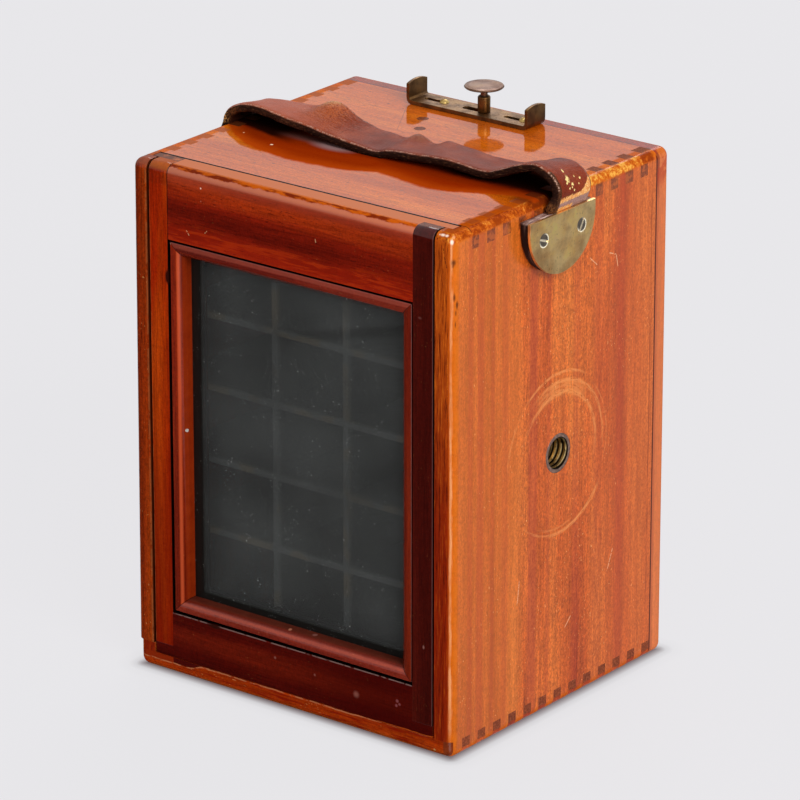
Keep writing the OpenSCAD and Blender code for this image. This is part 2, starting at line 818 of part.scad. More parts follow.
module strap_screw_head(side, s, more) {
    head_h = 0.85;
    x = side * (tab_x + tab_t + plate_t - head_h);
    translate([x, plate_y + s * strap_screw_y, strap_screw_z]) rotate([0, side * 90, 0])
        cylinder(h = head_h + more, r1 = 1.1, r2 = 2.05 + more, $fn = coarse);
}

module strap_screws() {
    color("gray") for (side = [-1, 1], s = [-1, 1]) difference() {
        y = plate_y + s * strap_screw_y;
        union() {
            strap_screw_head(side, s, 0);
            translate([side * (tab_x - 4), y, strap_screw_z]) rotate([0, side * 90, 0])
                cylinder(h = 4 + tab_t + 0.1, r = 1.1, $fn = coarse);
        }
        translate([side * (tab_x + tab_t + plate_t), y, strap_screw_z])
            rotate([s * 40 + 20, 0, 0]) cube([0.7, 5, 0.5], center = true);
    }
}

// The bush for the tripod screw, closed at the inside so that no light gets in
module tripod_bush() {
    color("goldenrod") translate([inner_x, bush_y, bush_z]) rotate([0, 90, 0]) difference() {
        cylinder(h = wall_t, r = bush_r, $fn = fine);
        translate([0, 0, bush_floor]) cylinder(h = wall_t, r = bush_bore_r, $fn = fine);
    }
}

left_wall();
right_wall();
left_edge_strip();
top_board();
base_board();
lens_panel();
top_plugs();
panel_screws();
lens_board();
lens_cells();
lens_glasses();
stop_plate();
shutter_rail_bottom();
shutter_rail_top();
partition_uprights();
partition_shelves();
screen_stile_left();
screen_stile_right();
screen_rail_top();
screen_rail_bottom();
bead_left();
bead_right();
bead_top();
bead_bottom();
bead_pin();
ground_glass();
slide_bar();
drive_pins();
shutter_plate();
bar_screws();
button_socket();
button_barrel();
button();
button_spring();
strap();
strap_plate_left();
strap_plate_right();
strap_screws();
tripod_bush();
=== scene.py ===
import functools
import math

import bmesh
import bpy
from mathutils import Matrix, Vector, noise


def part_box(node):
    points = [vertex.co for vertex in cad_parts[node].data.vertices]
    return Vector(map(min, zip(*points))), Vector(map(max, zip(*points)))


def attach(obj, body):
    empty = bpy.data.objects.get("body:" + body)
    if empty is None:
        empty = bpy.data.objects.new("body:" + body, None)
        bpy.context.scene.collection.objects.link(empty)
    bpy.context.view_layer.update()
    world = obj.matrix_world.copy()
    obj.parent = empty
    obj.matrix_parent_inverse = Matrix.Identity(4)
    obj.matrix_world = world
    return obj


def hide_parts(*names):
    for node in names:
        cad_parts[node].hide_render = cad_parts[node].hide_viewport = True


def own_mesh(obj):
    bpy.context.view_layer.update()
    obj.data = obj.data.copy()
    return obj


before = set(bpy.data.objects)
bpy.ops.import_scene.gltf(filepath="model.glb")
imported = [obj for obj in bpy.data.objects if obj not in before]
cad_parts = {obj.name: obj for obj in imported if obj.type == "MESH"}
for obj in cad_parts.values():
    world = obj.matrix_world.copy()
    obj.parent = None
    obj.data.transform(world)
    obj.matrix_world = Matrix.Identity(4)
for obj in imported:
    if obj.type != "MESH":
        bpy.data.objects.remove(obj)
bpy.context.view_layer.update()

MM = 0.001
DEGREES = 180 / math.pi


def box_mm(node):
    """Lowest and highest corners of a CAD node at rest, in millimetres."""
    return [[v / MM for v in corner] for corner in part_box(node)]


# The box's half width, half depth and height in millimetres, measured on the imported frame
HALF_W, HALF_D, BOX_H = box_mm("lens_panel")[1]
BACKGROUND = (232, 231, 234)


def linear(colour):
    """A colour as linear light. Three numbers from 0 to 255 are a colour as it looks on a screen."""
    if len(colour) == 4:
        return colour
    shares = [c / 255 for c in colour]
    return tuple(c / 12.92 if c <= 0.04045 else ((c + 0.055) / 1.055) ** 2.4 for c in shares) + (1.0,)


def shade(colour, factor):
    return tuple(min(1.0, c * factor) for c in linear(colour)[:3]) + (1.0,)


class Value:
    """What a node gives out. Sums written with it add Math nodes; a product plus something is one node."""

    def __init__(self, graph, socket=None, factors=None):
        self.graph = graph
        self.made = socket
        self.factors = factors

    @property
    def socket(self):
        if self.made is None:
            self.made = self.graph.math("MULTIPLY", *self.factors).socket
        return self.made

    def __mul__(self, other):
        return Value(self.graph, factors=(self, other))

    def __add__(self, other):
        if self.factors:
            return self.graph.math("MULTIPLY_ADD", *self.factors, other)
        return self.graph.math("ADD", self, other)

    def __sub__(self, other):
        if self.factors and isinstance(other, (int, float)):
            return self + -other
        return self.graph.math("SUBTRACT", self, other)

    def __rsub__(self, other):
        return self.graph.math("SUBTRACT", other, self)

    def __pow__(self, power):
        return self.graph.math("POWER", self, power)

    def __abs__(self):
        return self.graph.math("ABSOLUTE", self)


class Graph:
    """The nodes of a new material, or of the world. Sizes and places are in millimetres of the part's own
    frame, x, y and z are the place and nx, ny and nz the way the surface faces."""

    def __init__(self, name, owner=None):
        self.owner = owner or bpy.data.materials.new(name)
        self.owner.use_nodes = True
        self.tree = self.owner.node_tree
        self.tree.nodes.clear()
        metres = self.node("TexCoord", out="Object")
        self.place = self.node("VectorMath", {0: metres, "Scale": 1 / MM}, operation="SCALE")
        self.axes = self.x, self.y, self.z = self.split(self.place)
        self.facing = self.nx, self.ny, self.nz = self.split(self.node("NewGeometry", out="Normal"))
        self.clouds = None
        self.colour = None
        self.dull = 0.0

    def node(self, kind, inputs=None, out=0, **settings):
        """Adds a node with its settings and inputs, and gives one of its outputs."""
        node = self.tree.nodes.new("ShaderNode" + kind)
        for key, value in settings.items():
            setattr(node, key, value)
        for key, value in (inputs or {}).items():
            socket = node.inputs[key]
            if isinstance(value, Value):
                self.tree.links.new(value.socket, socket)
            else:
                socket.default_value = linear(value) if socket.type == "RGBA" else value
        return Value(self, node.outputs[out]) if node.outputs else None

    def split(self, vector):
        parts = self.node("SeparateXYZ", {0: vector}).socket.node
        return [Value(self, part) for part in parts.outputs]

    def math(self, operation, *values):
        return self.node("Math", dict(enumerate(values)), operation=operation)

    def vector(self, operation, *values, out=0):
        return self.node("VectorMath", dict(enumerate(values)), out=out, operation=operation)

    def length(self, a, b):
        return self.math("SQRT", a ** 2.0 + b ** 2.0)

    def most(self, *values):
        return functools.reduce(functools.partial(self.math, "MAXIMUM"), values)

    def least(self, *values):
        return functools.reduce(functools.partial(self.math, "MINIMUM"), values)

    def noise(self, size, seed=0.0, detail=3.0, rough=0.5, warp=0.0, source=None):
        """Cloudy noise whose features are about size millimetres, or three sizes along X, Y and Z."""
        sizes = size if isinstance(size, (tuple, list)) else (size,) * 3
        place = self.node("Mapping", {"Vector": source or self.place, "Scale": [1 / s for s in sizes],
                                      "Location": (seed, seed * 1.7, seed * 2.3)})
        return self.node("TexNoise", {"Vector": place, "Scale": 1.0, "Detail": detail, "Roughness": rough,
                                      "Distortion": warp}, out="Fac")

    def step(self, value, low, high):
        """0 below low, 1 above high, smooth between; low may be above high to turn it round."""
        falls = low > high
        return self.node("MapRange", {"Value": value, "From Min": min(low, high), "From Max": max(low, high),
                                      "To Min": float(falls), "To Max": float(not falls)},
                         interpolation_type="SMOOTHSTEP")

    def mask(self, **windows):
        """1 where every axis named is past its step. Four numbers are two steps, one at each end."""
        factors = [self.step(getattr(self, axis), window[i], window[i + 1])
                   for axis, window in windows.items() for i in range(0, len(window), 2)]
        return functools.reduce(lambda a, b: a * b, factors)

    def mix(self, factor, a, b, blend="MIX"):
        return self.node("Mix", {"Factor": factor, 6: a, 7: b}, out=2, data_type="RGBA", blend_type=blend)

    def paint(self, mask, tone, blend="MIX"):
        """Lays a tone over the colour so far where the mask is 1."""
        self.colour = self.mix(mask, self.colour, tone, blend)

    def dull_at(self, mask):
        """Takes the varnish's shine away where the mask is 1."""
        self.dull = self.most(self.dull, mask)

    def ramp(self, factor, *stops):
        """A colour ramp from (position, colour) pairs."""
        value = self.node("ValToRGB", {0: factor})
        elements = value.socket.node.color_ramp.elements
        while len(elements) < len(stops):
            elements.new(0.5)
        for element, (position, colour) in zip(elements, stops):
            element.position = position
            element.color = linear(colour)
        return value

    def near(self, centre, radius, soft=0.3, squeeze=(1, 1, 1)):
        """1 inside a ball or ellipsoid round a point, fading over the soft share of its radius."""
        shift = self.vector("MULTIPLY", self.vector("SUBTRACT", self.place, centre), squeeze)
        return self.step(self.vector("LENGTH", shift, out="Value"), radius * (1 + soft), radius * (1 - soft))

    def bump(self, height, depth):
        """A bump whose full height is depth millimetres."""
        return self.node("Bump", {"Strength": 1.0, "Distance": depth * MM, "Height": height})

    def finish(self, **sockets):
        inputs = {name.replace("_", " "): value for name, value in sockets.items()}
        shader = self.node("BsdfPrincipled", inputs)
        self.node("OutputMaterial", {"Surface": shader})
        return self.owner


# Woods

END_TONE = (112, 58, 34)
SPECK_TONE = (238, 168, 96)
PALE = (226, 178, 130)
CRACK = (46, 14, 8)
# The tone of the painted shade inside narrow gaps
GAP_SHADE = (16, 7, 5)
FRONT_Y = -HALF_D


def wood(name, grain, dark, middle, light, end=END_TONE, seed=0, band=13, streak=0.3, pore=0.5, worn=None,
         worn_at=2.2, worn_dull=0.6, dots=0.3, specks=0.5, details=None, coat=0.85, coat_roughness=0.12,
         waviness=0.02):
    """Varnished wood. grain is the axis that the fibres follow, 0 to 2. worn is the tone of the rubbed outer
    edges, details a function that paints the marks of one board."""
    g = Graph(name)

    def grained(across, along):
        size = [across] * 3
        size[grain] = along
        return size

    bands = g.noise(grained(band, band * 16), seed, warp=0.3)
    g.colour = g.ramp(bands, (0.32, dark), (0.5, middle), (0.66, light))
    ribbons = g.noise(grained(2.4, 60), seed + 3, rough=0.6)
    g.paint(streak, g.ramp(ribbons, (0.36, (0.3, 0.2, 0.16, 1)), (0.6, (1, 1, 1, 1))), "MULTIPLY")
    fine = g.noise(grained(0.5, 9), seed + 5, detail=4, rough=0.65)
    tones = g.ramp(fine, (0.36, (0.42, 0.32, 0.28, 1)), (0.52, (1, 1, 1, 1)), (0.68, (1.4, 1.35, 1.3, 1)))
    g.paint(streak * 1.3, tones, "MULTIPLY")
    mottle = g.noise(1.3, seed + 7, detail=4, rough=0.7)
    g.paint(0.3, g.ramp(mottle, (0.35, (0.62, 0.6, 0.6, 1)), (0.65, (1.3, 1.3, 1.3, 1))), "MULTIPLY")
    dotted = g.noise((0.5, 0.5, 0.7), seed + 21, detail=2, rough=0.6)
    dotted = g.ramp(dotted, (0.34, (0.5, 0.46, 0.46, 1)), (0.5, (1, 1, 1, 1)), (0.66, (1.4, 1.4, 1.3, 1)))
    g.paint(dots, dotted, "MULTIPLY")
    pores = g.step(g.noise(grained(0.3, 2.2), seed + 9, detail=2), 0.62, 0.72)
    g.paint(pores * pore, shade(dark, 0.25))
    flecks = g.step(g.noise(grained(0.45, 1), seed + 11, detail=1), 0.7, 0.76)
    patchy = g.step(g.noise(12, seed + 12, detail=2), 0.42, 0.6)
    g.paint(flecks * patchy * specks, SPECK_TONE)

    edges = [HALF_W - abs(g.x), HALF_D - abs(g.y), g.least(BOX_H - g.z, g.z)]
    pairs = [g.most(edges[i], edges[j]) for i, j in ((0, 1), (1, 2), (0, 2))]
    to_edge = g.least(*pairs)
    g.clouds = g.noise(3.5, seed + 13, detail=4, rough=0.65)
    ragged = (g.clouds - 0.5) * 5 + to_edge
    if worn:
        rubbed = g.step(ragged, worn_at + 1.2, worn_at - 1.2) * 0.85
        g.paint(rubbed, g.mix(mottle, shade(worn, 0.7), shade(worn, 1.2)))
        g.dull = g.step(to_edge, 3.2, 1.6) * worn_dull

    end_mask = g.step(abs(g.facing[grain]), 0.94, 0.985) * g.step(g.clouds * 1.4 + to_edge, 2.7, 3.3)
    end_grain = g.noise(0.6, seed + 15)
    end_colour = g.ramp(end_grain, (0.34, shade(end, 0.5)), (0.5, end), (0.66, shade(end, 1.6)))
    g.paint(end_mask * 0.85, end_colour)
    if details:
        details(g)

    waves = g.noise(grained(7, 30), seed + 17, detail=2)
    dents = g.noise(grained(1.2, 3), seed + 18)
    height = dents * 0.35 + (pores * -0.25 + waves)
    rough = g.step(g.noise(18, seed + 19), 0.2, 0.9)
    return g.finish(Base_Color=g.colour, Roughness=rough * 0.25 + 0.38,
                    Coat_Weight=g.dull * -coat + coat, Coat_Roughness=coat_roughness, Coat_IOR=1.5,
                    Specular_IOR_Level=0, Normal=g.bump(height, waviness),
                    Coat_Normal=g.bump(height, waviness * 0.6))


def gap(g, facing, first, last):
    """Painted shade: the sides of a narrow gap are painted black, where a side faces along facing, from first
    to last.
    """
    axis = abs(facing) - 1
    side = g.facing[axis] * (1 if facing > 0 else -1)
    middle, half = (first + last) / 2, (last - first) / 2
    inside = g.step(abs(g.axes[axis] - middle), half, half * 0.8)
    mask = g.step(side, 0.6, 0.85) * inside
    g.dull_at(mask)
    g.paint(mask, GAP_SHADE)


def spot(g, centre, radius, tone, strength=1, squeeze=(1, 1, 1), soft=0.35):
    """A small round or squeezed mark."""
    g.paint(g.near(centre, radius, soft, squeeze) * strength, tone)


def scratch(g, start, stop, width, tone, strength=0.8):
    """A straight scratch between two points on a face."""
    start, stop = Vector(start), Vector(stop)
    along = (stop - start).normalized()
    half = (stop - start).length / 2
    shift = g.vector("SUBTRACT", g.place, (start + stop) / 2)
    run = g.vector("DOT_PRODUCT", shift, along, out="Value")
    away = g.vector("LENGTH", shift, out="Value")
    off = g.math("SQRT", g.most(away ** 2 - run ** 2, 0))
    on_line = g.step(off, width, width * 0.3) * g.step(abs(run), half * 1.05, half * 0.8)
    broken = g.step(g.noise(0.5, half, detail=2), 0.36, 0.5)
    g.paint(on_line * broken * strength, tone)


def tripod_rings(g):
    """Pale rings that tripod heads have rubbed into the wall round the bush."""
    dy = g.y - BUSH_Y
    dz = g.z - BUSH_Z
    radius = g.length(dy, dz)
    angle = g.math("ARCTAN2", dz, dy) * DEGREES
    turned = g.node("CombineXYZ", {0: radius * 2.6, 1: angle * 0.12})
    broken = g.step(g.noise(1, 41, detail=4, rough=0.7, source=turned), 0.34, 0.56)
    broken = broken * g.step(g.x, 50, 51)
    for at, width, first, last, strength in RINGS:
        line = g.step(abs(radius - at), width, width * 0.2)
        middle, half = (first + last) / 2, (last - first) / 2
        turn = g.step(abs(angle - middle), half, half * 0.5)
        g.paint(line * turn * broken * strength, RING_TONE)


BUSH_Y = -1.75
BUSH_Z = 75
RING_TONE = (222, 138, 70)
# Radius, half width, first and last angle in degrees, and strength of each rubbed ring
RINGS = (
    (23.2, 0.6, 52, 140, 0.7), (20.6, 0.8, -20, 132, 0.6), (18.6, 3.2, 42, 128, 0.5),
    (17.2, 0.9, -30, 168, 0.6), (23.6, 0.8, -105, -30, 0.8), (23.4, 0.5, -135, -90, 0.4),
    (22, 0.5, -118, -70, 0.35), (22.4, 0.4, -30, 50, 0.35), (23, 0.6, 140, 180, 0.35),
)


def wall_marks(g):
    """Both side walls: their front edges, their tops and the marks on the right one."""
    front_tone = g.mix(g.step(g.z, 60, 140), (142, 34, 3), (192, 84, 14))
    front_tone = g.mix(g.clouds, g.mix(0.5, front_tone, (104, 20, 1)), front_tone)
    g.paint(g.step(g.ny, -0.75, -0.97), front_tone)
    right = g.step(g.x, 54.6, 55.2)
    # Painted sheen: a paler pinkish tint towards the rear of the right wall
    painted_sheen = right * g.step(g.y, 5, 34) * 0.35
    g.paint(painted_sheen, (190, 90, 48))
    yellow = right * g.step(g.y, -16, -22) * 0.35
    g.paint(yellow, (208, 116, 38))
    for middle, half, strength in WALL_STRIPES:
        stripe = abs(g.clouds * 1.5 + g.y - (middle + 0.75))
        stripe = g.step(stripe, half * 1.5, half * 0.5) * right * strength
        g.paint(stripe, (160, 54, 30))
    seam = right * g.step(abs(g.y - 40.8), 0.3, 0.1) * g.step(g.noise((0.5, 0.5, 9), 57), 0.42, 0.52)
    g.paint(seam * 0.6, (104, 38, 18))
    g.paint(right * g.step(g.y, 42.4, 42.8), (70, 20, 12))
    upper = g.step(g.nz, 0.9, 0.97)
    faint = upper * g.most(g.step(g.y, -4, -12) * 0.4, g.step(g.x, 0, -1) * 0.7)
    g.paint(faint, (190, 96, 44))
    # Painted shade under the strap on the walls' top faces, darker on the left
    strap_shade = g.mask(y=(-13, -11, 9, 7), nz=(0.3, 0.7))
    g.paint(strap_shade * 0.85, g.mix(g.step(g.x, 0, 1), (46, 17, 8), (92, 30, 10)))
    g.dull_at(strap_shade * 0.9)
    rubbed_edge(g)
    g.dull_at(upper * 0.75)
    # A streaky noise that only jitters the edge of the painted highlight below
    dirt = g.noise((0.7, 0.7, 9), 51, detail=4, rough=0.7)
    round_over = g.mask(ny=(-0.12, -0.35, -0.96, -0.8), z=(4, 12))
    on_front = g.mask(nx=(0.5, 0.3), ny=(-0.6, -0.8))
    fibre = g.noise((0.4, 0.4, 8), 53, detail=4, rough=0.75)
    light = g.step(fibre, 0.54, 0.66) * (g.step(g.z, 60, 140) * 0.6 + 0.25)
    g.paint(on_front * light, (224, 116, 26))
    g.dull_at(on_front * 0.8)
    g.paint(on_front * g.step(fibre, 0.48, 0.38) * 0.85, (84, 16, 2))
    # Painted highlight: a broken pale pink band on the rounded front right edge
    turn = (dirt - 0.5) * 0.5 + g.nx
    painted_highlight = g.step(turn, 0.46, 0.56) * g.step(turn, 0.78, 0.66)
    broken = g.step(g.noise((3, 3, 12), 55, rough=0.7), 0.3, 0.6)
    painted_highlight = painted_highlight * round_over * (broken * 0.6 + 0.15)
    g.paint(painted_highlight, (230, 158, 108))
    g.dull_at(round_over * 0.55)
    for centre, radius, squeeze in EDGE_GLINTS:
        spot(g, centre, radius, (255, 232, 214), 0.9, squeeze, soft=0.6)
    for centre, radius, squeeze in EDGE_KNOTS:
        spot(g, centre, radius, (66, 34, 22), 0.85, squeeze, soft=0.6)
    for start, stop, width in EDGE_CRACKS:
        scratch(g, start, stop, width, CRACK, 0.75)
    for start, stop in WALL_SCRATCHES:
        scratch(g, start, stop, 0.22, PALE, 0.7)
    tripod_rings(g)


# The front right edge's dark knots: centre, radius and squeeze
EDGE_KNOTS = (
    ((54.9, -48.5, 142.3), 0.65, (1, 1, 0.8)), ((54.8, -48.7, 141.3), 0.4, (1, 1, 0.7)),
    ((55, -48.2, 132.6), 0.45, (1, 1.4, 0.4)), ((55.2, -47.4, 130.4), 0.4, (1, 1.2, 0.4)),
    ((55.2, -47.8, 128.2), 0.3, (1, 1.2, 0.4)), ((55.1, -47.9, 125), 0.25, (1, 1.2, 0.3)),
)
# Its cracks: both ends and half width
EDGE_CRACKS = (
    ((52.4, FRONT_Y, 143.9), (53.2, FRONT_Y, 140.6), 0.24), ((54.1, -49.1, 138.5), (54.3, -49, 131), 0.2),
    ((54, -49.3, 143.4), (53.3, FRONT_Y, 141.6), 0.2), ((52, FRONT_Y, 146.2), (52.3, FRONT_Y, 144.6), 0.2),
    ((53.3, FRONT_Y, 120), (53.5, -49.3, 96), 0.2),
)
# Painted glints on its top end: centre, radius and squeeze
EDGE_GLINTS = (
    ((54.3, -48.6, 148), 0.42, (1, 1, 0.7)), ((51.2, -48.5, 149.5), 0.42, (0.6, 1, 1)),
    ((52.5, -48.3, 149.3), 0.35, (0.8, 1, 1)), ((50.2, -48.6, 149.5), 0.28, (1, 1, 1)),
)
# Redder stripes down the right wall: middle and half width along Y, strength
WALL_STRIPES = ((-41.5, 1.1, 0.3), (-37, 1.5, 0.4), (-31.5, 0.8, 0.3), (-26, 1.4, 0.25), (-13.3, 1.9, 0.5),
                (-6.2, 0.8, 0.25), (6.5, 1.4, 0.3), (16.5, 2.2, 0.25), (27, 1.6, 0.3))
# Scratches on it: both ends
WALL_SCRATCHES = (
    ((HALF_W, 21, 126.5), (HALF_W, 24.3, 125.2)), ((HALF_W, 24.3, 125.2), (HALF_W, 25.2, 121)),
    ((HALF_W, 12, 127.5), (HALF_W, 15.5, 124.5)), ((HALF_W, 22, 33), (HALF_W, 24.5, 39)),
    ((HALF_W, -20, 36), (HALF_W, -19, 43)), ((HALF_W, 2, 22), (HALF_W, 5, 25)),
)


def panel_marks(g):
    """The lens panel's edges beside the walls and the top board."""
    side = g.step(abs(g.x), 54.6, 55.2)
    g.paint(side * 0.5, (216, 124, 72))
    near_joint = g.step(g.clouds * 1.2 + g.y, 45, 44.4) * 0.75
    g.paint(near_joint, g.mix(g.step(g.z, 134, 144), (176, 84, 44), (112, 34, 16)))
    red = g.mask(z=(138, 143), clouds=(0.5, 0.56))
    g.paint(red * 0.6, (164, 44, 8))


def rubbed_edge(g):
    """The rounded right edge of the top, rubbed to a mottled golden brown on walls and fingers alike, with
    painted shade under the strap's right end.
    """
    band = g.mask(nz=(0.08, 0.3, 0.99, 0.95), x=(50, 53), y=(42.5, 41))
    inner = g.step(g.clouds * 2 + g.x, 50.6, 51.8) * g.mask(nz=(0.6, 0.95), y=(-6, -14))
    g.paint(inner * 0.65, g.mix(g.clouds, (132, 48, 8), (182, 78, 16)))
    g.dull_at(inner)
    mottle = g.noise(1.1, 91, detail=4, rough=0.7)
    patches = g.noise(5, 93, detail=2) - 0.5
    golden = g.step(g.y, 4, 12) * 0.17 + (patches * 0.6 + mottle) - 0.08
    golden = g.step(g.y, 35.5, 37.5) * -0.25 + golden
    tone = g.ramp(golden, (0.36, (128, 40, 4)), (0.5, (186, 84, 16)), (0.6, (206, 116, 34)),
                  (0.7, (236, 176, 76)))
    g.dull_at(band * 0.9)
    g.paint(band * 0.8, tone)
    # Painted shade under the strap's right end
    strap_shade = g.mask(y=(-18, -12, 9, 7), x=(46, 50), nz=(0.2, 0.5))
    g.paint(strap_shade * 0.65, (96, 32, 10))


def top_marks(g):
    """The top board: the strap's reflection painted deep red round it, painted black shadow under the strap,
    a painted grey reflection under its near edge, dark joints and chips.
    """
    rubbed_edge(g)
    mottled = g.noise(2.2, 95, rough=0.6)
    share = g.x * (0.5 / HALF_W) + 0.5
    reach = g.ramp(share, *[((place / HALF_W + 1) / 2, (far / 30,) * 3 + (1,)) for place, far in STRAP_REFLECTION_REACH])
    inside = g.clouds * 1.6 + (g.y + reach * 30)
    # Painted reflection of the strap: deep red round it, with the varnish's own shine taken away
    strap_reflection = g.step(inside, 0, 1.8) * g.mask(y=(10.5, 8), nz=(0.6, 0.9))
    g.paint(strap_reflection * 0.92, g.mix(g.step(inside, 0.5, 8), (172, 60, 7), (132, 27, 0)))
    g.dull_at(strap_reflection)
    # Painted black shadow under the strap, at its left and right
    wavy = g.clouds * 2 + g.y
    left = g.step(g.x * 0.25 + wavy, -20.5, -18) * g.step(g.x, -26, -38)
    right = g.step(wavy, -9, -4) * g.step(g.x, 12, 26)
    shaded = g.most(left, right) * g.mask(y=(9.5, 7), nz=(0.3, 0.8))
    g.paint(shaded * 0.95, (18, 7, 4))
    g.dull_at(shaded * 0.95)
    cut = g.step(abs(g.nx), 0.94, 0.985) * g.step(mottled, 0.46, 0.58)
    g.paint(cut * 0.55, (184, 88, 30))
    fingers = g.step(abs(g.x), 50.2, 51) * g.step(g.nz, 0.9, 0.97)
    g.dull_at(fingers * 0.75)
    lip = g.step(g.clouds * 0.5 + g.y, -40.3, -40.6) * g.step(g.nz, 0.3, 0.7)
    g.paint(lip * 0.85, (40, 14, 8))
    gap(g, -2, -41.2, -40.7)
    scratch(g, (-12.4, 13.8, BOX_H), (-25, 35, BOX_H), 0.2, CRACK, 0.45)
    # Painted grey reflection just under the strap's near edge
    for centre, radius, squeeze, tone, strength in PAINTED_GREY_REFLECTION:
        spot(g, centre, radius, tone, strength, squeeze, soft=0.7)
    spot(g, (-31.8, -17.3, BOX_H), 0.42, (250, 222, 186))
    spot(g, (-44.7, -13.6, BOX_H), 0.28, (246, 190, 140))


# The strap's reflection in the varnish, painted deep red round the strap: place along X and how far it
# reaches towards the front
STRAP_REFLECTION_REACH = (
    (-52.9, 10.7), (-45.8, 16.7), (-37.4, 21.7), (-28.6, 23.8), (-20.4, 25.3), (-13.9, 24.7), (-6.9, 23.8),
    (-1.4, 22.8), (3.1, 20.5), (6.2, 19.2), (11.3, 19.6), (17.9, 21), (25.5, 22), (31.3, 20.7),
    (35.6, 18.4), (40, 16.2), (44.3, 13.9), (48.7, 12.6),
)
# The painted grey reflection in the varnish just under the strap: centre, radius, squeeze, tone and strength
PAINTED_GREY_REFLECTION = (
    ((-26, -6.9, BOX_H), 8, (1, 3.4, 1), (106, 68, 62), 0.85),
    ((-17, -8.7, BOX_H), 5.8, (1, 2.5, 1), (162, 126, 124), 0.95),
)


def rail_top_marks(g):
    """The frame's top rail: its flames, a painted highlight and a painted dark reflection on its rounded edge
    along the top board, and its scratches.
    """
    flames = g.step(g.noise((9, 1, 0.8), 97, rough=0.6), 0.46, 0.6)
    flames = flames * g.step(g.clouds * 3 + g.z, 137, 133.5)
    g.paint(flames * 0.45, (206, 66, 10))
    shoulder = g.step(g.clouds * 2 + g.z, 145, 150) * 0.5
    g.paint(shoulder, (178, 78, 50))
    upper = g.step(g.z, 140, 146)
    mottled = g.noise((5, 1.2, 1.2), 99, rough=0.6)
    redder = g.step(g.clouds * 5 - g.z, -133, -129)
    g.paint(redder * 0.5, (150, 26, 4))
    turn = (g.clouds - 0.5) * 0.5 + g.nz
    # Painted highlight: a soft pink band on the lower part of the rounded upper edge
    painted_highlight = g.step(g.nz, 0.02, 0.6) * g.step(turn, 0.82, 0.7)
    g.paint(painted_highlight * upper * 0.75, (206, 116, 80))
    # Painted reflection: a dark orange band with orange glints just below the flat top
    dark = g.step(turn, 0.7, 0.82) * g.step(g.nz, 0.995, 0.98) * upper
    g.paint(dark, g.mix(g.step(mottled, 0.4, 0.58), (124, 36, 2), (198, 88, 8)))
    arris = g.step(turn, 0.7, 0.82) * g.step(g.nz, 0.9999, 0.999) * upper
    g.dull = g.most(g.dull * 0.4, arris * 0.9)
    flat = g.step(g.nz, 0.95, 0.99) * upper
    g.paint(flat * 0.75, (212, 116, 54))
    g.dull_at(flat * 0.3)
    joint = g.step(g.clouds * 0.3 + g.x, -42.1, -42.3) * g.step(g.clouds, 0.3, 0.5)
    g.paint(joint * 0.8, (44, 12, 5))
    back = flat * g.step(g.clouds * 0.5 + g.y, -41.5, -41.25)
    g.paint(back, (40, 14, 8))
    spot(g, (-11.2, -48.7, 149.9), 0.5, (246, 226, 206))
    spot(g, (-30.6, FRONT_Y, 145.9), 0.24, (236, 200, 172))
    spot(g, (-30.6, FRONT_Y, 142.2), 0.2, (190, 110, 80), 0.6)
    for start, stop, width in RAIL_SCRATCHES:
        scratch(g, start, stop, width, PALE, 0.8)


# Scratches on the top rail: both ends and half width
RAIL_SCRATCHES = (
    ((-35.9, FRONT_Y, 132.9), (-34.9, FRONT_Y, 131.5), 0.14),
    ((-29.4, FRONT_Y, 133.3), (-28.6, FRONT_Y, 134.1), 0.15),
    ((8.4, -48.9, 149.8), (12, -48.6, 149.9), 0.14), ((12.6, -48.9, 149.8), (16.4, -48.7, 149.9), 0.16),
    ((9.5, -49, 149.3), (14.5, -49.1, 149.1), 0.12), ((8.9, FRONT_Y, 139.8), (9.2, FRONT_Y, 138.7), 0.16),
)


def foot_line(g):
    """Height of the worn line between the base and what stands on it, along the front."""
    wave = g.noise(5, 61, rough=0.6) - 0.5
    line = g.step(g.x, -37, -32) * 1.45 + 3.45
    line = g.step(g.x, 15, 45) * 0.5 + line
    return wave * 0.7 + line


def rail_bottom_marks(g):
    g.paint(g.step(g.x, -10, 30) * 0.6, (56, 2, 1))
    gap(g, 3, 18.5, 19)
    over = g.z - foot_line(g)
    g.paint(g.step(over, 0.08, -0.05), (176, 72, 18))
    arris = g.mask(ny=(-0.3, -0.7), z=(RAIL_BOTTOM_TOP - 0.45, RAIL_BOTTOM_TOP - 0.25))
    chips = g.step(g.noise(2.2, 63), 0.36, 0.46)
    g.paint(arris * chips * 0.75, (136, 108, 102))
    spot(g, (-27.6, FRONT_Y, 18.3), 1.1, CRACK, 1, (0.5, 1, 1.6))
    for x, z, radius in ((22.5, 11, 0.8), (8, 13, 0.3), (-6, 14.5, 0.35)):
        spot(g, (x, FRONT_Y, z), radius, (150, 92, 80), 0.6, soft=0.8)
    for x, z, radius in ((36.7, 12.8, 0.45), (37.5, 12, 0.35), (36.4, 11.4, 0.4)):
        spot(g, (x, FRONT_Y, z), radius, (140, 74, 76), 0.75, soft=0.6)


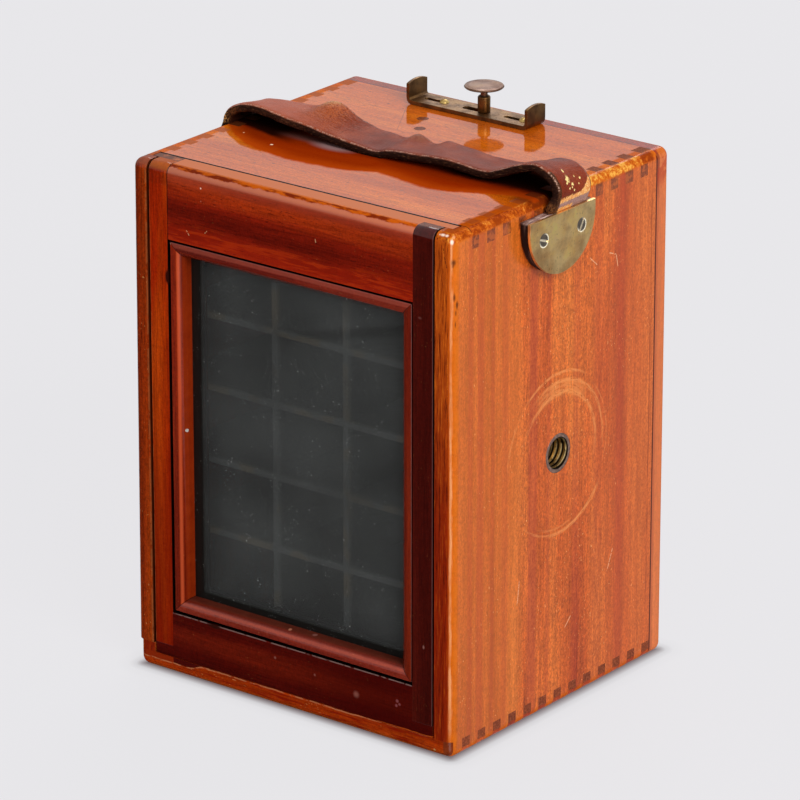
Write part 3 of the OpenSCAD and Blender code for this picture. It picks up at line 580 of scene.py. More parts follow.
def base_marks(g):
    front = g.step(g.ny, -0.5, -0.9)
    streaks = g.noise((14, 0.9, 0.9), 71, rough=0.6)
    g.paint(front * g.step(streaks, 0.5, 0.62), (130, 24, 2))
    low = front * g.step(g.clouds * 1.6 + g.z, 2.3, 1.5)
    g.paint(low, (150, 84, 14))
    over = g.z - foot_line(g)
    on_frame = front * g.step(g.x, 49.6, 49)
    light = g.step(over, -0.5, -0.3) * g.step(g.clouds, 0.38, 0.5)
    g.paint(light * front * 0.7, (190, 120, 78))
    foot = g.mix(g.step(g.x, -42.9, -42.6), (136, 38, 6), (74, 10, 6))
    g.paint(on_frame * g.step(over, -0.1, 0.05), foot)
    corner = g.mask(x=(52.2, 52.8), y=(-44, -46))
    g.paint(corner * 0.8, g.mix(g.clouds, (70, 24, 14), (130, 60, 30)))
    spot(g, (49.4, FRONT_Y, 1.7), 0.4, (200, 150, 90))


def stile_marks(g):
    top = g.mask(nz=(0.2, 0.6), x=(0, -1))
    g.paint(top, g.mix(g.clouds, (120, 40, 10), (206, 104, 30)))
    g.paint(g.step(g.z, 90, 40) * 0.6, (112, 14, 0))
    edge = g.mask(x=(-48.75, -48.95), clouds=(0.4, 0.55))
    g.paint(edge * 0.45, (170, 96, 50))
    gap(g, 1, -43, -42.4)
    spot(g, (-42.75, FRONT_Y, 118), 2, CRACK, 1, (2.4, 1, 1))
    dark_end = g.mask(z=(143.5, 145.5), ny=(-0.5, -0.9))
    g.paint(dark_end * g.clouds * 0.5, (70, 22, 10))


def right_stile_marks(g):
    line = g.mask(x=(48.3, 48.5), ny=(-0.3, -0.6))
    g.paint(line * 0.6, (104, 66, 62))
    gap(g, 1, 48.4, 49)
    spot(g, (45.7, FRONT_Y, 31), 0.4, (150, 100, 92), 0.7, (1.4, 1, 0.8), soft=0.6)
    spot(g, (44.3, FRONT_Y, 125), 0.4, (110, 64, 58), 0.6, (0.8, 1, 1.4), soft=0.8)


def strip_marks(g):
    line = g.mask(x=(-50.6, -50.4), clouds=(0.42, 0.52))
    g.paint(line * 0.25, (176, 116, 66))
    # Painted shade: the side facing the gap to the stile is dark brown
    side = g.step(g.nx, 0.6, 0.85)
    g.paint(side, (76, 30, 12))
    g.dull_at(side)
    # Painted highlight: a broken pale line on the rounded outer edge
    outer = g.mask(nx=(-0.4, -0.7, -0.97, -0.85), clouds=(0.36, 0.5))
    g.paint(outer * 0.45, (236, 190, 150))
    top = g.step(g.nz, 0.3, 0.7)
    g.paint(top, g.mix(g.clouds, (90, 30, 18), (170, 84, 48)))


def mitre_line(g):
    """The dark open line where two beads meet, 45 degrees across the corner."""
    lines = []
    for corner_x, corner_z, lean in BEAD_CORNERS:
        rise = g.z - corner_z
        across = g.x - corner_x + rise * lean
        on_line = g.step(abs(across), 0.2, 0.08)
        lines.append(on_line * g.step(abs(rise), 5, 4.6))
    g.paint(g.most(*lines) * 0.75, CRACK)


# The beads' corners and which way each mitre leans
BEAD_LEFT, BEAD_RIGHT, BEAD_LOW, BEAD_HIGH = -41.9, 41.5, 19.5, 128.3
BEAD_CORNERS = ((BEAD_LEFT, BEAD_LOW, -1), (BEAD_LEFT, BEAD_HIGH, 1), (BEAD_RIGHT, BEAD_LOW, 1),
                (BEAD_RIGHT, BEAD_HIGH, -1))


def bead_marks(g):
    left = g.step(g.x, 0, -1)
    inner = g.step(g.nx, 0.72, 0.92) * left
    g.paint(inner * 0.8, g.mix(g.clouds, (104, 22, 4), (150, 52, 14)))
    g.dull_at(inner * 0.8)
    # Painted highlight along the left bead's nose
    nose_highlight = g.mask(nx=(0.3, 0.48, 0.75, 0.6)) * left
    g.paint(nose_highlight * 0.55, (218, 92, 50))
    g.dull_at(g.step(g.nx, 0.2, 0.4) * left * 0.75)
    g.paint(g.step(g.x, 38, 39) * 0.45, (82, 12, 2))
    gap(g, 1, 41.2, 41.8)
    mitre_line(g)
    spot(g, (-41.7, -48.6, 128), 0.5, (200, 146, 116), 0.7, (1, 0.5, 1))


def bead_bottom_marks(g):
    low = g.step(g.z, 70, 69)
    dusty = g.step(g.nz, 0.8, 0.97) * low
    g.paint(dusty * 0.8, g.mix(g.clouds, (60, 26, 18), (112, 62, 44)))
    g.dull_at(dusty * 0.7)
    # Painted highlight along the bottom bead's nose
    nose_highlight = g.mask(nz=(0.34, 0.5, 0.76, 0.6)) * low * (g.clouds * 0.8 + 0.1)
    g.paint(nose_highlight * 0.55, (204, 96, 70))
    upper = g.step(g.nz, 0.66, 0.8) * low
    g.paint(upper * 0.5, (70, 18, 10))
    g.dull_at(g.most(nose_highlight * 0.6, upper * 0.8))
    lit = g.mask(z=(126.6, 127.2), nz=(0.9, 0.5))
    g.paint(lit * 0.3, (184, 90, 70))
    gap(g, 3, 128, 128.6)
    mitre_line(g)
    spot(g, (-2, -47.5, 23.3), 0.5, (190, 120, 92), 0.7)
    spot(g, (6, -46.6, 23.5), 0.7, (140, 90, 80), 0.7)


RAIL_BOTTOM_TOP = 18.75

WOODS = {
    "wall": dict(grain=2, dark=(166, 62, 18), middle=(200, 92, 28), light=(215, 114, 42),
                 seed=2, worn=(206, 100, 18), worn_dull=0.9, dots=0.6, details=wall_marks, specks=0.9,
                 coat=0.75, coat_roughness=0.24),
    "panel": dict(grain=2, dark=(166, 62, 14), middle=(200, 86, 24), light=(216, 110, 44),
                  end=(132, 44, 26), seed=21, worn=(204, 104, 30), dots=0.45, details=panel_marks,
                  coat_roughness=0.2),
    "top": dict(grain=0, dark=(198, 86, 8), middle=(216, 102, 13), light=(230, 122, 24),
                end=(104, 46, 22), seed=5, streak=0.24, pore=1, dots=0.4, specks=0.3, details=top_marks,
                worn=(200, 92, 18), worn_at=1.6, worn_dull=0.8, coat=1, coat_roughness=0.06, waviness=0.012),
    "base": dict(grain=0, dark=(140, 36, 2), middle=(178, 60, 5), light=(206, 88, 16),
                 seed=8, details=base_marks, coat=0.4),
    "strip": dict(grain=2, dark=(118, 32, 4), middle=(148, 48, 6), light=(176, 72, 14),
                  seed=11, streak=0.4, dots=0.5, details=strip_marks, coat=0.45),
    "stile_left": dict(grain=2, dark=(128, 20, 0), middle=(158, 36, 1), light=(186, 66, 6),
                       seed=13, band=7, streak=0.4, specks=0.1, details=stile_marks, coat=0.35),
    "stile_right": dict(grain=2, dark=(56, 8, 4), middle=(70, 12, 6), light=(88, 20, 10),
                        seed=15, coat=0.6, pore=0.3, specks=0.05, details=right_stile_marks),
    "rail_top": dict(grain=0, dark=(102, 14, 3), middle=(134, 26, 5), light=(168, 50, 10),
                     seed=17, band=9, streak=0.34, pore=0.7, specks=0.1, details=rail_top_marks, coat=0.7),
    "rail_bottom": dict(grain=0, dark=(66, 6, 2), middle=(84, 12, 5), light=(108, 24, 8),
                        seed=19, coat=0.45, pore=0.3, specks=0.05, details=rail_bottom_marks),
    "bead": dict(grain=2, dark=(102, 18, 2), middle=(134, 34, 7), light=(158, 50, 14),
                 seed=23, streak=0.4, pore=0.5, specks=0.1, details=bead_marks, coat_roughness=0.18),
    "bead_across": dict(grain=0, dark=(98, 20, 9), middle=(118, 30, 17), light=(142, 48, 28),
                        seed=25, streak=0.2, pore=0.3, specks=0.1, details=bead_bottom_marks,
                        coat_roughness=0.18),
    "plug": dict(grain=2, dark=(104, 46, 24), middle=(124, 58, 30), light=(144, 72, 38), end=(118, 58, 32),
                 seed=27, coat=0.5),
}


# Metals, blackened parts, glass and leather

def brass(name, clean, aged, dirt=0.5, roughness=0.32, scratch=0.4, seed=0, cloud=4.5):
    g = Graph(name)
    patches = g.noise(cloud, seed, detail=5, rough=0.6)
    g.colour = g.mix(g.step(patches, 0.36, 0.66) * dirt, clean, aged)
    hue = g.noise(cloud * 0.8, seed + 6, detail=5, rough=0.6)
    g.paint(dirt, g.ramp(hue, (0.36, (0.72, 0.7, 0.72, 1)), (0.5, (1, 1, 1, 1)),
                         (0.66, (1.2, 1.2, 0.9, 1))), "MULTIPLY")
    spots = g.step(g.noise(0.7, seed + 2), 0.62, 0.72)
    g.paint(spots * (dirt * 0.6), shade(aged, 0.35))
    lines = g.noise((7, 0.14, 0.14), seed + 4, detail=2)
    rough = g.step(patches, 0.3, 0.75) * 0.25 + roughness
    rough = (lines - 0.5) * (scratch * 0.3) + rough
    height = lines * scratch + patches * 0.6
    return g.finish(Base_Color=g.colour, Metallic=1, Roughness=rough, Normal=g.bump(height, 0.01))


def bush_brass(name):
    """The bush: a dull outer ring, and brass only where the thread's crests are rubbed."""
    g = Graph(name)
    radius = g.length(g.y - BUSH_Y, g.z - BUSH_Z)
    cloud = g.noise(0.9, 3, detail=4, rough=0.65)
    crest = g.step(radius, 4.4, 4.24) * g.step(cloud, 0.3, 0.5)
    thread = g.mix(crest, (24, 18, 12), (196, 166, 112))
    ring = g.ramp(cloud, (0.35, (88, 64, 54)), (0.65, (140, 110, 96)))
    g.colour = g.mix(g.step(radius, 4.58, 4.62), thread, ring)
    metal = g.step(radius, 4.58, 4.62) * -0.75 + 1
    return g.finish(Base_Color=g.colour, Metallic=metal, Roughness=cloud * 0.3 + 0.25,
                    Normal=g.bump(cloud, 0.01))


def blackened(name, tone, roughness=0.6, metallic=0):
    g = Graph(name)
    cloud = g.noise(6, 3, detail=4)
    colour = g.ramp(cloud, (0.3, shade(tone, 0.6)), (0.7, shade(tone, 1.5)))
    fine = g.noise((0.3, 0.3, 2.5), 5, detail=2)
    return g.finish(Base_Color=colour, Metallic=metallic, Roughness=roughness, Normal=g.bump(fine, 0.02))


def steel(name, tone, roughness=0.3, metallic=1):
    g = Graph(name)
    cloud = g.noise(1.5, 1, detail=4)
    colour = g.ramp(cloud, (0.3, shade(tone, 0.55)), (0.65, tone))
    turned = g.noise(0.12, 2, detail=1)
    return g.finish(Base_Color=colour, Metallic=metallic, Roughness=cloud * 0.3 + (roughness - 0.1),
                    Normal=g.bump(turned, 0.006))


def screw_steel(name):
    """The strap's screws: a dull head with a painted glint along its slot, in a countersink with a painted
    highlight on one side of its rim.
    """
    g = Graph(name)
    cloud = g.noise(1, 1, detail=4)
    g.colour = g.ramp(cloud, (0.3, (62, 54, 46)), (0.7, (98, 88, 76)))
    for centre_y, centre_z, lean in STRAP_SCREWS:
        dy = g.y - centre_y
        dz = g.z - centre_z
        radius = g.length(dy, dz)
        here = g.step(radius, 3.2, 3)
        side = (dy - dz) * 0.16 + 0.5
        # Painted highlight on one side of the countersink's rim
        rim = g.step(radius, 1.6, 1.8) * here * g.step(side, 0.1, 0.6)
        g.paint(rim, (255, 244, 214))
        across = dz * math.cos(math.radians(lean)) + dy * -math.sin(math.radians(lean))
        # Painted glint along the slot
        slot = g.step(abs(across), 0.38, 0.2) * g.step(radius, 1.75, 1.6)
        g.paint(slot * 0.9, (226, 214, 190))
    return g.finish(Base_Color=g.colour, Metallic=0.35, Roughness=cloud * 0.3 + 0.2,
                    Normal=g.bump(cloud, 0.01))


# Middle of each screw in the strap plates and the lean of its slot in degrees
STRAP_SCREWS = ((-14.2, 140.2, -20), (2.8, 140.2, 60))


def clear_glass(name):
    g = Graph(name)
    dust = g.step(g.noise(0.25, 4), 0.7, 0.8)
    return g.finish(Base_Color=(240, 248, 246), Transmission_Weight=1, IOR=1.52, Roughness=dust * 0.25)


def ground_glass(name):
    """Fine-ground glass, mostly haze: the partitions behind it show faintly through."""
    g = Graph(name)
    cloud = g.noise((30, 30, 26), 8)
    field = g.ramp(cloud, (0.3, (57, 58, 57)), (0.7, (75, 77, 76)))
    streak = g.step(abs(g.x * -0.275 + (g.z - 108.6)), 2.6, 0.4)
    field = g.mix(streak * (g.step(g.x, -20, 20) * 0.3 + 0.15), field, (38, 38, 36))
    shaded = g.most(g.step(g.x, -22, -35), g.step(g.z, 36, 23))
    field = g.mix(shaded * 0.45, field, (34, 35, 34))
    # Painted shade: the border over the ledge behind the glass is near black, and more see-through
    inside = g.least(g.step(g.x, -35, -34), g.step(g.z, 25.2, 26), g.step(g.x, 36.6, 35.4))
    g.colour = g.mix(inside, (20, 20, 18), field)
    dust = g.step(g.noise(0.4, 20, detail=1), 0.73, 0.78)
    sparse = g.step(g.noise(7, 22, detail=1), 0.46, 0.58)
    g.paint(dust * sparse, (160, 164, 160))
    wipe = g.step(g.noise((1.2, 1.2, 6), 24, detail=4, rough=0.7), 0.62, 0.75)
    g.paint(wipe * 0.15, (110, 112, 108))
    return g.finish(Base_Color=g.colour, Alpha=inside * -0.28 + 0.97, Roughness=0.32,
                    Specular_IOR_Level=0.3)


# Strength of the glow painted on the partitions' dusty front edges: it stands in for the light that the
# ground glass lets through to them, which the glass's haze takes away
DUST_GLOW = 0.36


def partition_wood(name):
    """Blackened wood whose front edges, just behind the glass, are dusty and rubbed pale, and glow faintly as
    painted light.
    """
    g = Graph(name)
    depth = g.y - box_mm("partition_uprights")[0][1]
    cloud = g.noise(14, 5)
    warm = g.step(g.noise(9, 12, detail=1), 0.5, 0.62)
    dusty = g.mix(warm, (150, 154, 152), (178, 160, 128))
    # The dust's share, which also sets the strength of the painted glow
    dust_and_glow = g.step(depth, 2.5, -0.5) * (g.step(cloud, 0.3, 0.6) * 0.6 + 0.4)
    black = g.ramp(cloud, (0.3, (24, 23, 22)), (0.7, (38, 37, 36)))
    return g.finish(Base_Color=g.mix(dust_and_glow, black, dusty), Roughness=0.8, Normal=g.bump(cloud, 0.02),
                    Emission_Color=dusty, Emission_Strength=dust_and_glow * DUST_GLOW)


def wear_away(g, speckle, threshold, places):
    """Rubs the leather paler in broken patches."""
    for centre, radius, squeeze, tone, strength in places:
        zone = g.near(centre, radius, 0.6, squeeze)
        breakup = g.step(zone * 0.16 + speckle, threshold, threshold + 0.1)
        g.paint(zone * breakup * strength, tone)


def leather(name, is_end=False):
    """Worn bridle leather. is_end gives the layered cut edge and grey top of the ends under the plates."""
    g = Graph(name)
    cloud = g.noise(9, 2, detail=4, rough=0.6)
    g.colour = g.ramp(cloud, (0.3, (98, 36, 18)), (0.5, (132, 53, 28)), (0.72, (160, 76, 42)))
    grain = {"Vector": g.place, "Scale": 1.5}
    cells = g.step(g.node("TexVoronoi", grain, out="Distance", feature="DISTANCE_TO_EDGE"), 0, 0.16)
    creases = g.noise((0.5, 5, 0.5), 4, detail=4, rough=0.7, warp=0.6)
    g.paint(g.step(creases, 0.56, 0.7) * 0.4, (54, 18, 12))
    speckle = g.noise(0.45, 14, rough=0.7)
    g.paint(0.55, g.ramp(speckle, (0.34, (0.55, 0.5, 0.5, 1)), (0.66, (1.4, 1.35, 1.3, 1))), "MULTIPLY")
    if not is_end:
        # Painted sheen: the strap's left part is paler and pinkish
        g.paint(g.step(g.x, -18, -30) * 0.4, (206, 104, 70))
        g.paint(g.step(g.x, -16, -6) * 0.3, (110, 30, 10))
    fibres = g.noise((1.4, 0.3, 0.3), 7, detail=4)
    cut = g.ramp(fibres, (0.35, (18, 9, 7)), (0.6, (44, 24, 18)), (0.78, (128, 90, 56)))
    edge = g.least(g.y - STRAP_Y0, STRAP_Y1 - g.y)
    if is_end:
        layers = g.step(g.noise((0.35, 6, 6), 31, detail=2), 0.5, 0.62)
        raw = g.step(abs(g.nx), 0.8, 0.5)
        g.paint(raw, g.mix(layers, (34, 20, 17), (86, 62, 54)))
        streaks = g.noise((0.6, 4, 4), 33, detail=4, rough=0.7)
        pale = g.ramp(streaks, (0.35, (96, 66, 58)), (0.5, (160, 124, 114)), (0.66, (222, 196, 184)))
        g.paint(g.step(g.nz, 0.5, 0.8), pale)
    else:
        # Painted shade: the strap's underside and the inner faces of its end bends are near black
        inner = g.most(g.mask(nx=(-0.2, -0.5), x=(45, 50)), g.mask(nx=(0.1, 0.4), x=(-48, -52)))
        painted_underside_shade = g.most(g.step(g.nz, -0.15, -0.45), inner)
        g.paint(painted_underside_shade * 0.92, (14, 8, 6))
        rim = g.step(edge, 1.05, 0.75) * g.step(edge, 0.3, 0.55)
        dotted = g.step(g.noise((0.5, 0.6, 0.5), 35, detail=4, rough=0.75), 0.45, 0.58)
        rim = rim * g.step(g.nz, 0, 0.3) * dotted
        wear_away(g, speckle, 0.56, TOP_WEAR)
        frayed_end(g)
        raw = g.step(edge, 0.75, 0.1)
        g.paint(raw, cut)
        g.paint(rim * 0.7, (206, 164, 142))
        wear_away(g, speckle, 0.58, EDGE_WEAR)
    height = speckle * 0.4 + (cells * 0.35 + creases)
    crumpled = g.near((-25.5, 2.5, 157), 8, 0.5, (0.8, 0.8, 1))
    wrinkles = g.noise((2, 1, 1.6), 45, detail=4, rough=0.7, warp=0.5)
    height = crumpled * wrinkles * 7 + height
    rough = g.noise(5, 9) * 0.3 + 0.28
    rough = g.most(rough, raw * 0.85)
    return g.finish(Base_Color=g.colour, Roughness=rough, Specular_IOR_Level=0.12,
                    Specular_Tint=HAZE_TONE, Normal=g.bump(height, 0.12))


# The tint of the faint shine on the leather
HAZE_TONE = (255, 162, 126)
# Rubbed places on the strap's top and along its nearer edge: centre, radius, squeeze, tone and strength
TOP_WEAR = (
    ((-26.5, 2.5, 157.5), 5, (0.7, 0.62, 1), (190, 100, 56), 0.7),
    ((-28, 5, 157.5), 2.5, (0.7, 0.7, 1), (226, 170, 112), 0.75),
    ((2, 4.5, 153.5), 2.5, (0.7, 0.7, 1), (150, 92, 60), 0.5),
)
EDGE_WEAR = (
    ((-56.2, -9, 151.6), 2, (1, 1, 1), (222, 160, 92), 0.95),
    ((-51, -9.2, 153.3), 3.4, (0.7, 1, 1.6), (150, 92, 50), 0.35),
    ((-43, -9.2, 153.9), 3.4, (0.7, 1, 1.6), (110, 62, 38), 0.3),
    ((-33, -9.2, 153), 3.4, (0.5, 1, 1.6), (104, 60, 40), 0.5),
    ((58, -10.5, 147.5), 2.4, (1, 1, 1), (150, 92, 50), 0.35),
)


def frayed_end(g):
    """The strap's right end, where its surface is rubbed off down to the tan and grey layers."""
    outside = g.mask(x=(55.5, 56.5), nx=(0, 0.3))
    ragged = g.noise(0.6, 37, detail=4, rough=0.7) - 0.5
    lift = ragged * 2.2 + g.z
    slant = (g.z - 149.6) * -1.45 + (g.y - 1.1)
    slant = g.least(ragged * 2 + slant, 153.6 - lift)
    rubbed = g.most(g.step(lift, 150.3, 149.9), g.step(slant, -0.2, 0.3))
    fray = g.noise(0.4, 39, detail=4, rough=0.7)
    tan = g.ramp(fray, (0.34, (190, 104, 46)), (0.5, (232, 156, 84)), (0.66, (240, 212, 148)))
    g.paint(rubbed * outside, tan)
    grey = g.ramp(fray, (0.34, (118, 80, 74)), (0.66, (182, 142, 132)))
    g.paint(g.step(lift, 148.9, 148.6) * outside, grey)
    low = g.step(lift, 147.5, 147.2) * g.step(g.y, -0.5, -1.5)
    g.paint(low * outside, tan)
    g.paint(g.step(ragged * 1.5 + g.y, -7.2, -7.7) * outside,
            g.ramp(fray, (0.34, (34, 16, 10)), (0.66, (96, 58, 36))))
    for place_y, place_z, radius in FRAY_SPOTS:
        off = ragged * min(2.4, radius * 3) + g.length(g.y - place_y, g.z - place_z)
        g.paint(g.step(off, radius, radius * 0.7) * outside, (240, 214, 140))


# Rubbed spots on the strap's outer bend: place along Y and Z, and radius
FRAY_SPOTS = (
    (-3.4, 154.6, 0.85), (-4.3, 153.8, 0.35), (-2, 153, 0.5), (-2.4, 152.3, 0.3), (-3.6, 152.2, 0.3),
    (-1.5, 151.3, 0.4), (2.3, 153.6, 0.35), (-3, 156.4, 0.35), (0.2, 154.4, 0.25), (1, 152.4, 0.25),
)

# The strap's edges along Y
STRAP_Y0 = -9
STRAP_Y1 = 7

MATERIALS = {name: wood("wood_" + name, **look) for name, look in WOODS.items()}
MATERIALS |= {
    "brass_plate": brass("brass_plate", (250, 214, 150), (206, 158, 100), dirt=0.8, seed=1, cloud=8),
    "brass_bar": brass("brass_bar", (126, 92, 54), (78, 54, 32), dirt=0.8, roughness=0.3, seed=5),
    "brass_disc": brass("brass_disc", (120, 92, 76), (90, 62, 50), dirt=0.6, roughness=0.3, seed=9),
    "brass_bright": brass("brass_bright", (206, 176, 108), (150, 116, 62), dirt=0.4, seed=13),
    "steel": steel("steel", (176, 172, 164)),
    "screw_steel": screw_steel("screw_steel"),
    "pin_steel": steel("pin_steel", (236, 232, 222), metallic=0.2),
    "black_wood": blackened("black_wood", (34, 33, 32)),
    "black_steel": blackened("black_steel", (42, 42, 44), 0.4, 1),
    "clear_glass": clear_glass("clear_glass"),
    "ground_glass": ground_glass("ground_glass"),
    "partition": partition_wood("partition"),
    "bush": bush_brass("bush"),
    "leather": leather("leather"),
    "leather_end": leather("leather_end", is_end=True),
}

# Which CAD nodes get each material
DRESSED = {
    "wall": "left_wall right_wall",
    "strip": "left_edge_strip",
    "panel": "lens_panel",
    "top": "top_board",
    "base": "base_board",
    "plug": "top_plugs",
    "stile_left": "screen_stile_left",
    "stile_right": "screen_stile_right",
    "rail_top": "screen_rail_top",
    "rail_bottom": "screen_rail_bottom",
    "bead": "bead_left bead_right",
    "bead_across": "bead_top bead_bottom",
    "brass_plate": "strap_plate_left strap_plate_right",
    "brass_bar": "slide_bar drive_pins button_socket button_barrel",
    "brass_disc": "button",
    "brass_bright": "panel_screws lens_cells bar_screws tripod_bush",
    "steel": "button_spring",
    "screw_steel": "strap_screws",
    "pin_steel": "bead_pin",
    "black_wood": "lens_board shutter_rail_bottom shutter_rail_top",
    "black_steel": "stop_plate shutter_plate",
    "clear_glass": "lens_glasses",
    "ground_glass": "ground_glass",
    "partition": "partition_uprights partition_shelves",
    "leather": "strap",
}
EASED = ("screen_stile_left screen_stile_right screen_rail_top screen_rail_bottom bead_left bead_right "
         "bead_top bead_bottom left_edge_strip slide_bar strap_plate_left strap_plate_right button_barrel")
EASE_WIDTH = 0.1
EASE_ANGLE = 35


def ease(node):
    """Softens a CAD node's sharp edges with modifiers, and leaves its mesh alone."""
    weld = node.modifiers.new("weld", "WELD")
    weld.merge_threshold = 0.002 * MM
    bevel = node.modifiers.new("ease", "BEVEL")
    bevel.width = EASE_WIDTH * MM
    bevel.segments = 2
    bevel.limit_method = "ANGLE"
    bevel.angle_limit = math.radians(EASE_ANGLE)
    bevel.harden_normals = False


for material_name, node_names in DRESSED.items():
    for node_name in node_names.split():
        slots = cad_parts[node_name].data.materials
        slots.clear()
        slots.append(MATERIALS[material_name])
for node_name in EASED.split():
    ease(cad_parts[node_name])


# Meshes

def add_object(name, data):
    """A new object in the scene."""
    obj = bpy.data.objects.new(name, data)
    bpy.context.scene.collection.objects.link(obj)
    return obj


def aim(obj, place, direction):
    """Puts a lamp or camera in its place and turns it along a direction."""
    obj.location = place
    obj.rotation_euler = Vector(direction).to_track_quat("-Z", "Y").to_euler()


def mesh_object(name, build, material, body, smooth=True):
    """A mesh made by build(bmesh) in millimetres, riding on a body."""
    bm = bmesh.new()
    build(bm)
    bmesh.ops.recalc_face_normals(bm, faces=bm.faces)
    for vert in bm.verts:
        vert.co *= MM
    mesh = bpy.data.meshes.new(name)
    bm.to_mesh(mesh)
    bm.free()
    if smooth:
        mesh.shade_smooth()
    mesh.materials.append(material)
    obj = add_object(name, mesh)
    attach(obj, body)
    return obj


def loft(bm, rings, cap=True):
    """Joins rings of points, one after the other, with quads."""
    rows = [[bm.verts.new(point) for point in ring] for ring in rings]
    count = len(rows[0])
    for row, after in zip(rows, rows[1:]):
        for i in range(count):
            k = (i + 1) % count
            bm.faces.new((row[i], row[k], after[k], after[i]))
    if cap:
        bm.faces.new(list(reversed(rows[0])))
        bm.faces.new(rows[-1])
    return rows


# The strap's upper face: x and z of the edge nearer the screen, then of the edge nearer the lenses
STRAP_ROUTE = [
    (-58.1, 146.1, -58.1, 146.1), (-57.4, 148, -58.1, 148), (-56.5, 150, -57.6, 149.9),
    (-55.9, 152.2, -56.4, 151.6), (-54.3, 154.1, -54.4, 152.8), (-51.4, 155.7, -51.5, 153.8),
    (-47.2, 156.6, -47.2, 154.3), (-42.5, 156.6, -42.5, 154.6), (-38, 156, -38, 154.9),
    (-33.5, 155.3, -33.5, 155.6), (-29.3, 154.9, -29.3, 156.8), (-25, 154.4, -25, 156.6),
    (-20.7, 153.6, -20.6, 154.8), (-16.6, 153.1, -16.6, 153.5), (-12.5, 152.7, -12, 152.4),
    (-7.5, 152.2, -7.3, 152.3), (-2.6, 151.8, -2.6, 152), (1, 152.7, 1.5, 153.5),
    (5.3, 153.2, 6, 152.1), (9.6, 153.5, 9.2, 152.5), (14, 153.9, 12, 153.4),
    (21, 154.3, 20, 153.1), (26, 154.1, 26, 152.5), (31, 153.6, 31, 152.5),
    (35.5, 153.7, 36, 152.5), (39.5, 155, 40.5, 153.3), (43.5, 156.7, 45, 154.9),
    (47.5, 158.1, 49.2, 156.3), (51.2, 158.8, 52.8, 156.6), (54.5, 158.1, 55.6, 155.8),
    (57.3, 156.5, 57.6, 154.1), (59.3, 154.2, 59, 152), (59.9, 151.6, 59.3, 149.8),
    (59.2, 148.8, 58.8, 147.9), (58.1, 146.1, 58.1, 146.1)]
# Its thickness, how far to each side it stays above the top board, and beyond where its near corner is loose
STRAP_T = 2.6
STRAP_RESTS = 52
STRAP_LOOSE = 50
# Crumpled humps and hollows: place along X, share of the width, reach along X, share across and height
STRAP_HUMPS = ((-26.5, 0.72, 3.4, 0.2, 1.5), (-34.5, 0.8, 2.2, 0.25, -0.5), (-18.5, 0.7, 1.8, 0.22, -0.4),
               (2.2, 0.82, 1.7, 0.16, 0.6), (12.5, 0.85, 2.5, 0.2, 0.4))


def smooth_run(points, steps):
    """Points along a Catmull-Rom curve through the given ones."""
    run = []
    for i in range(len(points) - 1):
        p = [Vector(points[max(0, min(len(points) - 1, i + k))]) for k in (-1, 0, 1, 2)]
        for j in range(steps):
            t = j / steps
            run.append(0.5 * (2 * p[1] + t * (p[2] - p[0]) + t * t * (2 * p[0] - 5 * p[1] + 4 * p[2] - p[3])
                              + t ** 3 * (3 * p[1] - p[0] - 3 * p[2] + p[3])))
    run.append(Vector(points[-1]))
    return run


def build_strap(bm):
    """The strap as a loft between its two edges, crumpled and worn thin at its edges."""
    steps = 6
    across = 14
    near = smooth_run([(a, b) for a, b, _, _ in STRAP_ROUTE], steps)
    far = smooth_run([(c, d) for _, _, c, d in STRAP_ROUTE], steps)
    rings = []
    for i in range(len(near)):
        def edge(run):
            d = run[min(i + 1, len(run) - 1)] - run[max(i - 1, 0)]
            return run[i], Vector((-d.y, d.x)).normalized()
        (a, na), (b, nb) = edge(near), edge(far)
        hold = min(1, i / 10, (len(near) - 1 - i) / 10)
        upper, lower = [], []
        for j in range(across + 1):
            t = j / across
            ease_t = t * t * (3 - 2 * t)
            point = a.lerp(b, ease_t)
            out = na.lerp(nb, t).normalized()
            y = STRAP_Y0 + (STRAP_Y1 - STRAP_Y0) * t
            wave = noise.noise(Vector((point.x * 0.12, y * 0.16, 3.1))) * 0.35 * hold
            to_edge = min(t, 1 - t) * (STRAP_Y1 - STRAP_Y0)
            round_off = 0.55 * max(0, 1 - to_edge / 1.1) ** 2
            rough = noise.noise(Vector((point.x * 1.1, y * 1.3, 7.7))) * 0.12 * hold
            hump = sum(rise * math.exp(-((point.x - at) / reach) ** 2 - ((t - middle) / spread) ** 2)
                       for at, middle, reach, spread, rise in STRAP_HUMPS)
            crumple = 1 - abs(noise.noise(Vector((point.x * 0.55, y * 0.5, 21)))) * 2
            hump += crumple * 0.3 * math.exp(-((point.x + 26) / 6) ** 2) * ease_t
            top = point + out * (wave * 0.4 - round_off + hump)
            bottom = point - out * (STRAP_T - 0.12 + rough - round_off * 0.8 - hump)
            if abs(bottom.x) < STRAP_RESTS:
                bottom.y = max(bottom.y, BOX_H + 0.05)
            loose = 0
            if point.x > STRAP_LOOSE:
                loose = max(0, 1 - t / 0.3) * max(0, min(1, (150.5 - point.y) / 3))
            wander = noise.noise(Vector((point.x * 0.35, t * 2, 11))) * 0.35 * hold
            shift = wander * (1 if t > 0.5 else -1) * (abs(t - 0.5) * 2) ** 4 - loose * 1.5
            upper.append((top.x, y + shift, top.y))
            lower.append((bottom.x, y + shift - wander * 0.3, bottom.y))
        rings.append(upper + list(reversed(lower)))
    loft(bm, rings)


def d_outline(radius, straight, segments=40):
    """The D outline in the YZ plane about its own centre, its flat edge up."""
    points = [(radius, straight), (-radius, straight)]
    for i in range(segments + 1):
        angle = math.pi + math.pi * i / segments
        points.append((radius * math.cos(angle), radius * math.sin(angle)))
    return points


